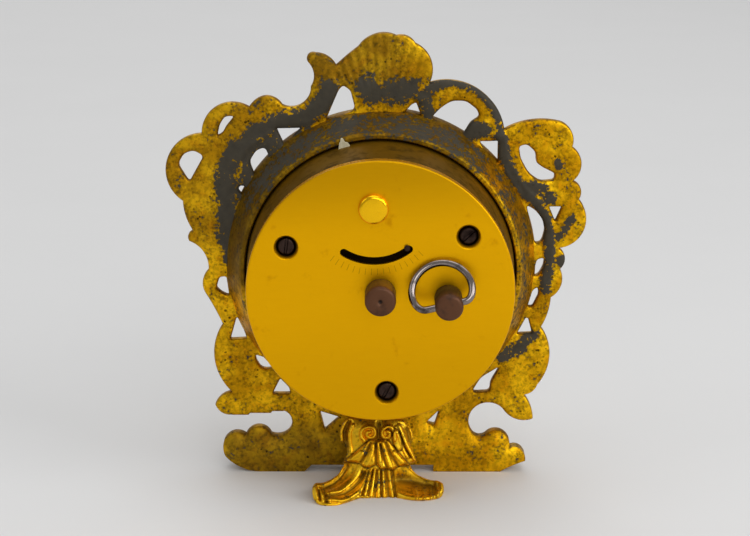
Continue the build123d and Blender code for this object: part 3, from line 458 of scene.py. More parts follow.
@dataclass
class Relief:
    """Openwork sheet with a modelled face on each side.

    Attributes:
        outer: Outer edge of the sheet.
        holes: Edges of its openings.
        spacing: Distance between the points of its faces.
        rims: Distances of the rows of points that follow each edge.
        guides: Rows of points that follow the modelling.
    """

    outer: np.ndarray
    holes: list[np.ndarray] = field(default_factory=list)
    spacing: float = 0.5
    rims: tuple[float, ...] = (0.12, 0.32, 0.62)
    guides: list[np.ndarray] = field(default_factory=list)
    plan: np.ndarray = field(init=False)
    faces: np.ndarray = field(init=False)
    inset: np.ndarray = field(init=False)

    def __post_init__(self) -> None:
        """Lays out the points and the faces of the sheet's plan."""
        loops = [self.outer, *self.holes]
        tree = self._edge_tree(loops)
        low, high = self.outer.min(0), self.outer.max(0)
        rows = np.arange(low[1], high[1], self.spacing * math.sqrt(3) / 2)
        lines = [np.arange(low[0] + (i % 2) * self.spacing / 2, high[0], self.spacing)
                 for i in range(len(rows))]
        field_points = np.vstack([np.column_stack([x, np.full(len(x), y)]) for x, y in zip(lines, rows)])
        gaps = self._gaps(tree, field_points)
        clear = gaps > self.rims[-1] + self.spacing / 2
        if self.guides:
            clear &= self._gaps(self._edge_tree(self.guides), field_points) > self.spacing / 2
        filling = [field_points[clear], *self.guides]
        for rim in self.rims:
            for loop in loops:
                ahead = np.roll(loop, -1, axis=0) - np.roll(loop, 1, axis=0)
                normal = np.column_stack([-ahead[:, 1], ahead[:, 0]])
                normal /= np.linalg.norm(normal, axis=1)[:, None]
                for side in (-rim, rim):
                    row = loop + side * normal
                    filling.append(row[self._gaps(tree, row) > 0.9 * rim])
        loose = np.vstack(filling)
        loose = loose[self._solid(loose)]
        corners = np.vstack(loops)
        edges = []
        start = 0
        for loop in loops:
            edges += [(start + i, start + (i + 1) % len(loop)) for i in range(len(loop))]
            start += len(loop)
        points = [Vector(p) for p in np.vstack([corners, loose])]
        coords, _, faces, *_ = delaunay_2d_cdt(points, edges, [], 1, 1e-5)
        self.plan = np.array([tuple(c) for c in coords])
        faces = np.array([tuple(face) for face in faces])
        faces = faces[self._solid(self.plan[faces].mean(1))]
        kept, renumbered = np.unique(faces, return_inverse=True)
        self.plan = self.plan[kept]
        self.faces = renumbered.reshape(faces.shape)
        self.inset = self._gaps(tree, self.plan)

    @staticmethod
    def _edge_tree(loops: Iterable[np.ndarray]) -> KDTree:
        """Search tree of points set closely along the edges."""
        fine = []
        for loop in loops:
            following = np.roll(loop, -1, axis=0)
            for share in np.linspace(0, 1, 5, endpoint=False):
                fine.append(loop + share * (following - loop))
        samples = np.vstack(fine)
        tree = KDTree(len(samples))
        for i, (x, y) in enumerate(samples):
            tree.insert((x, y, 0.0), i)
        tree.balance()
        return tree

    @staticmethod
    def _gaps(tree: KDTree, points: np.ndarray) -> np.ndarray:
        """Distance of each point from the nearest edge."""
        return np.array([tree.find((x, y, 0.0))[2] for x, y in points])

    def _solid(self, points: np.ndarray) -> np.ndarray:
        """Whether each point lies on the sheet and not in an opening."""
        found = inside(points, self.outer)
        for hole in self.holes:
            found &= ~inside(points, hole)
        return found

    def shell(self, rear: np.ndarray, front: np.ndarray) -> tuple[np.ndarray, Faces]:
        """Closed shell between two modelled faces.

        Args:
            rear: Depth of the rear face at each point of the plan.
            front: Depth of the front face at each point of the plan.

        Returns:
            Points and faces of the shell, the rear face first.
        """
        count = len(self.plan)
        points = np.vstack([np.column_stack([self.plan, rear]), np.column_stack([self.plan, front])])
        directed = np.vstack([self.faces[:, [0, 1]], self.faces[:, [1, 2]], self.faces[:, [2, 0]]])
        codes = directed[:, 0] * count + directed[:, 1]
        rim = directed[~np.isin(codes, directed[:, 1] * count + directed[:, 0])]
        walls = np.column_stack([rim[:, 0], rim[:, 0] + count, rim[:, 1] + count, rim[:, 1]])
        return points, [self.faces, self.faces[:, ::-1] + count, walls]


class Sock:
    """Output of a shader node, with the sums that the finishes use."""

    def __init__(self, shader: "Shader", socket: bpy.types.NodeSocket) -> None:
        """Keeps the shader and the socket."""
        self.shader = shader
        self.socket = socket

    def __add__(self, other: "Value") -> "Sock":
        """Sum."""
        return self.shader.math("ADD", self, other)

    def __sub__(self, other: "Value") -> "Sock":
        """Difference."""
        return self.shader.math("SUBTRACT", self, other)

    def __rsub__(self, other: "Value") -> "Sock":
        """Difference from a number."""
        return self.shader.math("SUBTRACT", other, self)

    def __mul__(self, other: "Value") -> "Sock":
        """Product."""
        return self.shader.math("MULTIPLY", self, other)

    __radd__ = __add__
    __rmul__ = __mul__


Value = Union[float, Sequence[float], Sock]


class Shader:
    """Material under construction."""

    def __init__(self, name: str) -> None:
        """Starts a material with a shader of its own and the object's coordinates."""
        self.material = bpy.data.materials.new(name)
        self.material.use_nodes = True
        self.tree = self.material.node_tree
        self.tree.nodes.clear()
        self.place = self.node("ShaderNodeTexCoord", output="Object")

    def node(self, kind: str, settings: Optional[dict[str, Any]] = None,
             sockets: Optional[dict[Union[int, str], Value]] = None, output: Union[int, str] = 0) -> Sock:
        """Adds a node.

        Args:
            kind: Type of the node.
            settings: Settings of the node, a ramp's stops among them.
            sockets: Values or links of its inputs.
            output: Output that is handed back.

        Returns:
            The output.
        """
        made = self.tree.nodes.new(kind)
        for key, value in (settings or {}).items():
            if key == "stops":
                for stop, (position, colour) in zip(self._stops(made.color_ramp, len(value)), value):
                    stop.position, stop.color = position, colour
            else:
                setattr(made, key, value)
        for key, value in (sockets or {}).items():
            if isinstance(value, Sock):
                self.tree.links.new(value.socket, made.inputs[key])
            else:
                made.inputs[key].default_value = value
        return Sock(self, made.outputs[output])

    @staticmethod
    def _stops(ramp: bpy.types.ColorRamp, count: int) -> Sequence[bpy.types.ColorRampElement]:
        """Stops of a ramp, as many as asked."""
        while len(ramp.elements) < count:
            ramp.elements.new(1.0)
        return ramp.elements

    def math(self, operation: str, left: Value, right: Value) -> Sock:
        """Sum of two values by a Math node."""
        return self.node("ShaderNodeMath", {"operation": operation}, {0: left, 1: right})

    def step(self, value: Value, low: float, high: float) -> Sock:
        """Smooth step of a value from 0 to 1."""
        settings = {"interpolation_type": "SMOOTHSTEP"}
        return self.node("ShaderNodeMapRange", settings, {0: value, 1: low, 2: high})

    def mix(self, share: Value, first: Value, second: Value, blend: str = "MIX") -> Sock:
        """Mix of two colours."""
        settings = {"data_type": "RGBA", "blend_type": blend}
        return self.node("ShaderNodeMix", settings, {0: share, 6: first, 7: second}, 2)

    def noise(self, size: float, detail: float = 3.0, stretch: Optional[Point] = None) -> Sock:
        """Cloudy noise.

        Args:
            size: Size of its spots in millimetres.
            detail: Fineness of its edges.
            stretch: Scale of the pattern along each axis.

        Returns:
            The noise from 0 to 1.
        """
        place = self.place
        if stretch:
            place = self.node("ShaderNodeMapping", None, {"Vector": place, "Scale": stretch})
        sockets = {"Vector": place, "Scale": 1 / (size * MM), "Detail": detail}
        return self.node("ShaderNodeTexNoise", None, sockets)

    def tag(self, name: str) -> Sock:
        """Value that the piece's own points carry."""
        return self.node("ShaderNodeAttribute", {"attribute_name": name}, None, "Fac")

    def bump(self, height: Value, strength: float, distance: float) -> Sock:
        """Normal bent by a height.

        Args:
            height: Height from 0 to 1.
            strength: Strength of the bend.
            distance: Height of the relief in millimetres.

        Returns:
            The normal.
        """
        sockets = {"Height": height, "Strength": strength, "Distance": distance * MM}
        return self.node("ShaderNodeBump", None, sockets)

    def surface(self, **sockets: Value) -> bpy.types.Material:
        """Ends the material with its surface.

        Args:
            **sockets: Inputs of the surface, with spaces written as underlines.

        Returns:
            The material.
        """
        named = {key.replace("_", " "): value for key, value in sockets.items()}
        surface = self.node("ShaderNodeBsdfPrincipled", None, named)
        end = self.tree.nodes.new("ShaderNodeOutputMaterial")
        self.tree.links.new(surface.socket, end.inputs["Surface"])
        return self.material


@dataclass(frozen=True)
class GiltFinish:
    """Gilding on a casting, pitted and rubbed through where the points say so.

    Attributes:
        name: Name of the material.
        bright: Colour of the clean gilding.
        dull: Colour of the tarnished gilding.
        warm: Colour of its reddish patches.
        dirt: Colour of the darkening at its edges and in its hollows, and of the painted shade that the rim
            tag carries.
        pits: Share of the surface that is pitted.
        gloss: Roughness of the clean gilding.
        cast: Strength of the unevenness left by casting.
    """

    name: str
    bright: tuple[float, ...] = tone(254, 198, 22)
    dull: tuple[float, ...] = tone(206, 152, 12)
    warm: tuple[float, ...] = tone(218, 141, 10)
    dirt: tuple[float, ...] = tone(50, 38, 8)
    pits: float = 0.7
    gloss: float = 0.4
    cast: float = 0.5

    def build(self) -> bpy.types.Material:
        """Makes the material."""
        shader = Shader(self.name)
        cloud = shader.step(shader.noise(8.0, 4.0), 0.36, 0.66)
        gold = shader.mix(cloud, self.dull, self.bright)
        warm = shader.step(shader.noise(2.6, 3.0), 0.5, 0.72) * 0.5
        gold = shader.mix(warm, gold, self.warm)
        crowd = shader.step(shader.noise(6.0, 3.0), 0.66 - 0.34 * self.pits, 0.86 - 0.34 * self.pits)
        cells = {"Vector": shader.place, "Scale": 1 / (1.5 * MM)}
        dots = shader.node("ShaderNodeTexVoronoi", None, cells, "Distance")
        specks = (1 - shader.step(dots + 0.5 * shader.noise(0.8, 2.0), 0.36, 0.5)) * crowd
        blotches = shader.step(shader.noise(1.1, 3.0), 0.42, 0.62)
        rag = shader.noise(3.4, 5.0) * 1.5 + shader.noise(0.8, 3.0) * 1.9 - 1.7
        worn = shader.tag("bare") + rag
        bare = shader.step(worn, 0.36, 0.46)
        ash = shader.mix(shader.noise(1.8, 4.0), tone(45, 41, 32), tone(70, 63, 47))
        colour = shader.mix(blotches * (0.45 * self.pits), gold, tone(96, 68, 8))
        colour = shader.mix(specks * 0.85, colour, tone(46, 34, 10))
        colour = shader.mix(shader.step(worn, -0.1, 0.4) * 0.55, colour, tone(74, 54, 8))
        # The rim tag mixes in the dark colour: darkening along edges and in hollows, and painted shade on the
        # parts that the light leaves darker.
        rim = shader.tag("rim")
        colour = shader.mix(rim, colour, self.dirt)
        colour = shader.mix(bare, colour, ash)
        rough = self.gloss + 0.2 * specks + 0.25 * bare + 0.1 * (1 - cloud) + 0.15 * rim
        swell = 0.5 * shader.noise(2.4, 2.0)
        height = swell + 0.22 * (1 - specks) + 0.12 * shader.noise(0.5, 3.0) + 0.1 * (1 - bare)
        return shader.surface(Base_Color=colour, Metallic=1 - 0.75 * bare - 0.2 * rim, Roughness=rough,
                              Normal=shader.bump(height, self.cast, 0.3))


@dataclass(frozen=True)
class MetalFinish:
    """Plain metal with its grain, tarnish and handling marks, and painted shade where its points carry it.

    Attributes:
        name: Name of the material.
        colour: Colour of the clean metal.
        tarnish: Colour of its tarnish.
        tarnished: Share of the surface that is tarnished.
        roughness: Roughness of the clean metal.
        grain: Way that the surface was finished.
        shine: Share of bare metal under any skin of oxide.
    """

    name: str
    colour: tuple[float, ...]
    tarnish: tuple[float, ...]
    tarnished: float = 0.3
    roughness: float = 0.3
    grain: Grain = Grain.DRAWN
    shine: float = 1.0

    def build(self) -> bpy.types.Material:
        """Makes the material."""
        shader = Shader(self.name)
        stretch = {Grain.CAST: None, Grain.ROUND: (1.0, 14.0, 1.0), Grain.DRAWN: (0.12, 1.0, 1.0)}[self.grain]
        fine = shader.noise(0.5, 2.0, stretch)
        cloud = 0.72 * shader.noise(6.0, 4.0) + 0.28 * shader.noise(1.5, 3.0)
        stain = shader.step(cloud, 0.72 - 0.4 * self.tarnished, 0.95 - 0.4 * self.tarnished)
        colour = shader.mix(stain, self.colour, self.tarnish)
        colour = shader.mix(fine * 0.12, colour, self.tarnish)
        # Painted shade that a piece's points carry, mixed towards dark brown.
        dirt = shader.tag("dirt")
        colour = shader.mix(dirt, colour, tone(28, 16, 6))
        rough = self.roughness + 0.15 * stain + 0.1 * fine + 0.2 * dirt
        return shader.surface(Base_Color=colour, Metallic=self.shine, Roughness=rough,
                              Normal=shader.bump(fine, 0.12, 0.02))


@dataclass(frozen=True)
class EnamelFinish:
    """Cream dial enamel with a little toning."""

    name: str = "cream_enamel"
    colour: tuple[float, ...] = tone(238, 228, 202)
    toning: tuple[float, ...] = tone(214, 196, 156)

    def build(self) -> bpy.types.Material:
        """Makes the material."""
        shader = Shader(self.name)
        cloud = shader.step(shader.noise(14.0, 4.0), 0.45, 0.8)
        colour = shader.mix(cloud, self.colour, self.toning)
        return shader.surface(Base_Color=colour, Roughness=0.28 + 0.1 * cloud, Coat_Weight=0.3,
                              Normal=shader.bump(shader.noise(2.0, 2.0), 0.05, 0.02))


@dataclass(frozen=True)
class GlassFinish:
    """Clear dial glass with faint smears."""

    name: str = "dial_glass"

    def build(self) -> bpy.types.Material:
        """Makes the material."""
        shader = Shader(self.name)
        smear = shader.step(shader.noise(8.0, 3.0), 0.5, 0.8)
        return shader.surface(Base_Color=tone(250, 252, 250), Roughness=0.02 + 0.05 * smear,
                              Transmission_Weight=1.0, IOR=1.46, Alpha=0.15)


@dataclass(frozen=True)
class MatteFinish:
    """Dull surface such as chalky packing or the studio floor."""

    name: str
    colour: tuple[float, ...]
    shade: tuple[float, ...]
    size: float = 2.0
    roughness: float = 0.8

    def build(self) -> bpy.types.Material:
        """Makes the material."""
        shader = Shader(self.name)
        cloud = shader.noise(self.size, 4.0)
        return shader.surface(Base_Color=shader.mix(cloud, self.colour, self.shade),
                              Roughness=self.roughness + 0.1 * cloud)


class Finishes:
    """Every finish of the clock, made once."""

    def __init__(self) -> None:
        """Builds the materials."""
        self.gilt = GiltFinish("worn_gilt").build()
        self.bright_gilt = GiltFinish("bright_gilt", tone(255, 206, 44), tone(238, 182, 28),
                                      tone(244, 182, 28), tone(92, 63, 6), 0.1, 0.34, 0.12).build()
        self.cover_brass = MetalFinish("satin_brass", tone(240, 178, 8), tone(214, 148, 5), 0.3, 0.34,
                                       Grain.DRAWN).build()
        self.drum_brass = MetalFinish("drum_brass", tone(158, 118, 20), tone(104, 76, 18), 0.7, 0.4,
                                      Grain.ROUND).build()
        self.works_brass = MetalFinish("works_brass", tone(228, 182, 80), tone(178, 126, 46), 0.3,
                                       0.3).build()
        self.cap_brass = MetalFinish("cap_brass", tone(252, 196, 24), tone(226, 160, 8), 0.15, 0.2,
                                     Grain.CAST).build()
        self.mark_brass = MetalFinish("mark_brass", tone(186, 134, 8), tone(150, 104, 6), 0.4, 0.5).build()
        # Dark brass for the rear plate: painted shade for the darkness behind the slot.
        self.plate_brass = MetalFinish("plate_brass", tone(70, 50, 22), tone(40, 28, 14), 0.5, 0.5).build()
        self.brown = MetalFinish("brown_brass", tone(96, 58, 32), tone(54, 32, 18), 0.5, 0.36, Grain.CAST,
                                 0.55).build()
        self.dark_steel = MetalFinish("dark_steel", tone(62, 48, 42), tone(28, 20, 18), 0.6, 0.36).build()
        self.nickel = MetalFinish("nickel_wire", tone(146, 136, 132), tone(48, 40, 38), 0.55, 0.1,
                                  Grain.CAST).build()
        self.steel = MetalFinish("bright_steel", tone(196, 196, 198), tone(140, 138, 136), 0.25, 0.24).build()
        self.spring = MetalFinish("spring_steel", tone(70, 84, 120), tone(52, 58, 76), 0.4, 0.28).build()
        self.hand = MetalFinish("blued_hand", tone(36, 44, 84), tone(24, 26, 44), 0.4, 0.24,
                                Grain.CAST).build()
        self.enamel = EnamelFinish().build()
        self.numerals = MatteFinish("numeral_black", tone(30, 26, 26), tone(46, 40, 38), 1.0, 0.45).build()
        self.glass = GlassFinish().build()
        self.packing = MatteFinish("packing", tone(220, 214, 188), tone(160, 152, 120), 1.0, 0.85).build()
        self.floor = MatteFinish("studio_floor", tone(226, 226, 226), tone(223, 223, 223), 60.0, 0.75).build()


def linked(name: str, data: bpy.types.ID) -> bpy.types.Object:
    """New object in the scene.

    Args:
        name: Name of the object.
        data: Mesh, text, light or camera that it shows.

    Returns:
        The object.
    """
    made = bpy.data.objects.new(name, data)
    bpy.context.scene.collection.objects.link(made)
    return made


def evaluated(carrier: bpy.types.Object) -> bpy.types.Mesh:
    """Plain mesh of what an object shows. The object is removed.

    Args:
        carrier: Object with a text or a modifier.

    Returns:
        The mesh.
    """
    bpy.context.view_layer.update()
    graph = bpy.context.evaluated_depsgraph_get()
    made = bpy.data.meshes.new_from_object(carrier.evaluated_get(graph))
    bpy.data.objects.remove(carrier)
    return made


def place_piece(name: str, made: Union[Shape, bpy.types.Mesh], drawing: Drawing,
                material: bpy.types.Material, nodes: Sequence[str], crease: float = 32.0,
                body_node: str = "") -> bpy.types.Object:
    """Puts a finished piece into the clock in place of CAD nodes.

    Args:
        name: Name of the piece.
        made: Shape or mesh in the drawing's millimetres.
        drawing: Frame that it is drawn in.
        material: Finish of the piece.
        nodes: CAD nodes that it stands for.
        crease: Angle in degrees over which an edge stays sharp.
        body_node: CAD node whose body it rides on, where it stands for none.

    Returns:
        The piece.
    """
    mesh = made.mesh(name) if isinstance(made, Shape) else made
    mesh.transform(drawing.matrix)
    mesh.materials.clear()
    mesh.materials.append(material)
    mesh.shade_smooth()
    mesh.set_sharp_from_angle(angle=math.radians(crease))
    piece = linked(name, mesh)
    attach(piece, frame["nodes"][nodes[0] if nodes else body_node]["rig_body"])
    if nodes:
        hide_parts(*nodes)
    log.info("%s: %d faces", name, len(mesh.polygons))
    return piece


class NodeTool:
    """Geometry Nodes tree built in the script, with named inputs."""

    def __init__(self, name: str, inputs: dict[str, str]) -> None:
        """Starts a tree.

        Args:
            name: Name of the tree.
            inputs: Socket type of each named input.
        """
        self.tree = bpy.data.node_groups.new(name, "GeometryNodeTree")
        self.tree.interface.new_socket("Geometry", in_out="INPUT", socket_type="NodeSocketGeometry")
        self.tree.interface.new_socket("Geometry", in_out="OUTPUT", socket_type="NodeSocketGeometry")
        self.keys = {}
        for key, kind in inputs.items():
            self.keys[key] = self.tree.interface.new_socket(key, in_out="INPUT", socket_type=kind).identifier
        self.start = self.tree.nodes.new("NodeGroupInput")
        self.end = self.tree.nodes.new("NodeGroupOutput")

    def node(self, kind: str, settings: Optional[dict[str, Any]] = None,
             sockets: Optional[dict[Union[int, str], Any]] = None) -> bpy.types.Node:
        """Adds a node.

        Args:
            kind: Type of the node.
            settings: Settings of the node.
            sockets: Values of its inputs, or outputs that they link to.

        Returns:
            The node.
        """
        made = self.tree.nodes.new(kind)
        for key, value in (settings or {}).items():
            setattr(made, key, value)
        for key, value in (sockets or {}).items():
            if isinstance(value, bpy.types.NodeSocket):
                self.tree.links.new(value, made.inputs[key])
            else:
                made.inputs[key].default_value = value
        return made

    def close(self, geometry: bpy.types.NodeSocket) -> None:
        """Ends the tree with real geometry and its material."""
        real = self.node("GeometryNodeRealizeInstances", None, {0: geometry})
        dressed = self.node("GeometryNodeSetMaterial", None,
                            {"Geometry": real.outputs[0], "Material": self.start.outputs["Material"]})
        self.tree.links.new(dressed.outputs[0], self.end.inputs[0])

    def run(self, base: bpy.types.Mesh, values: dict[str, Any]) -> bpy.types.Mesh:
        """Runs the tree and gives its result as a plain mesh.

        Args:
            base: Mesh that the tree starts from.
            values: Value of each named input.

        Returns:
            The mesh, in the drawing's millimetres.
        """
        carrier = linked(self.tree.name, base)
        modifier = carrier.modifiers.new(self.tree.name, "NODES")
        modifier.node_group = self.tree
        for key, value in values.items():
            modifier[self.keys[key]] = value
        return evaluated(carrier)


class RingTool(NodeTool):
    """Tree that sets copies of a small shape along a circle's arc, each turned outwards."""

    def __init__(self) -> None:
        """Builds the tree."""
        super().__init__("copies_along_arc", {
            "Shape": "NodeSocketObject", "Count": "NodeSocketInt", "Radius": "NodeSocketFloat",
            "Start": "NodeSocketFloat", "Sweep": "NodeSocketFloat", "Centre": "NodeSocketVector",
            "Material": "NodeSocketMaterial"})
        given = self.start.outputs
        arc_line = self.node("GeometryNodeCurveArc", None, {
            "Resolution": 720, "Radius": given["Radius"], "Start Angle": given["Start"],
            "Sweep Angle": given["Sweep"]})
        spots = self.node("GeometryNodeCurveToPoints", {"mode": "COUNT"},
                          {"Curve": arc_line.outputs[0], "Count": given["Count"]})
        place = self.node("GeometryNodeInputPosition")
        parts = self.node("ShaderNodeSeparateXYZ", None, {0: place.outputs[0]})
        angle = self.node("ShaderNodeMath", {"operation": "ARCTAN2"},
                          {0: parts.outputs[1], 1: parts.outputs[0]})
        facing = self.node("ShaderNodeCombineXYZ", None, {"Z": angle.outputs[0]})
        shape = self.node("GeometryNodeObjectInfo", None, {"Object": given["Shape"]})
        copies = self.node("GeometryNodeInstanceOnPoints", None, {
            "Points": spots.outputs[0], "Instance": shape.outputs["Geometry"], "Rotation": facing.outputs[0]})
        moved = self.node("GeometryNodeTransform", None, {"Geometry": copies.outputs[0],
                                                          "Translation": given["Centre"]})
        self.close(moved.outputs[0])

    def copies(self, shape: Shape, count: int, radius: float, material: bpy.types.Material,
               start: float = 0.0, centre: Point = (0.0, 0.0, 0.0),
               sweep: Optional[float] = None) -> bpy.types.Mesh:
        """Mesh of the copies.

        Args:
            shape: Shape that is repeated, with its outward side along x.
            count: Number of copies.
            radius: Radius of the circle.
            material: Finish of the copies.
            start: Angle of the first copy in degrees.
            centre: Centre of the circle.
            sweep: Angle from the first copy to the last, or nothing for the whole circle.

        Returns:
            The mesh.
        """
        turn = 360 * (count - 1) / count if sweep is None else sweep
        sample = linked("sample", shape.mesh("sample"))
        made = self.run(bpy.data.meshes.new("empty"), {
            "Shape": sample, "Count": count, "Radius": radius, "Start": math.radians(start),
            "Sweep": math.radians(turn), "Centre": centre, "Material": material})
        bpy.data.objects.remove(sample)
        return made


class WireTool(NodeTool):
    """Tree that draws a round wire along a path."""

    sides: int = 20

    def __init__(self) -> None:
        """Builds the tree."""
        super().__init__("wire_along_path", {"Radius": "NodeSocketFloat", "Sides": "NodeSocketInt",
                                             "Material": "NodeSocketMaterial"})
        given = self.start.outputs
        path = self.node("GeometryNodeMeshToCurve", None, {0: given["Geometry"]})
        section = self.node("GeometryNodeCurvePrimitiveCircle", None,
                            {"Resolution": given["Sides"], "Radius": given["Radius"]})
        wire = self.node("GeometryNodeCurveToMesh", None, {"Curve": path.outputs[0],
                                                           "Profile Curve": section.outputs[0]})
        self.close(wire.outputs[0])

    def wire(self, path: np.ndarray, radius: float, material: bpy.types.Material) -> bpy.types.Mesh:
        """Mesh of a closed wire.

        Args:
            path: Points of the wire's middle line.
            radius: Radius of the wire.
            material: Finish of the wire.

        Returns:
            The mesh.
        """
        base = bpy.data.meshes.new("path")
        count = len(path)
        base.from_pydata(path.tolist(), [(i, (i + 1) % count) for i in range(count)], [])
        return self.run(base, {"Radius": radius, "Sides": self.sides, "Material": material})


@dataclass(frozen=True)
class Stroke:
    """Band of ornament or wear on the frame.

    Attributes:
        side: Face of the frame that it lies on.
        points: Points of its middle line in millimetres.
        width: Half of its width.
        rise: Height of the band over the face.
        bare: Share of the gilding that is rubbed off.
    """

    side: Side
    points: tuple[Point, ...]
    width: float
    rise: float
    bare: float = 0.0


LEFT_SCROLL = ((-12.0, 43.9), (-15.2, 39.0), (-20.3, 36.1), (-26.4, 34.6), (-32.6, 31.1), (-36.3, 26.6),
               (-37.9, 21.1), (-37.5, 14.8), (-38.1, 7.9), (-36.5, 1.3))
RIGHT_SCROLL = ((29.4, 31.6), (30.4, 26.2), (33.0, 21.6), (35.2, 18.1), (38.7, 14.9), (40.8, 10.5),
                (41.7, 4.7), (41.5, -0.4))


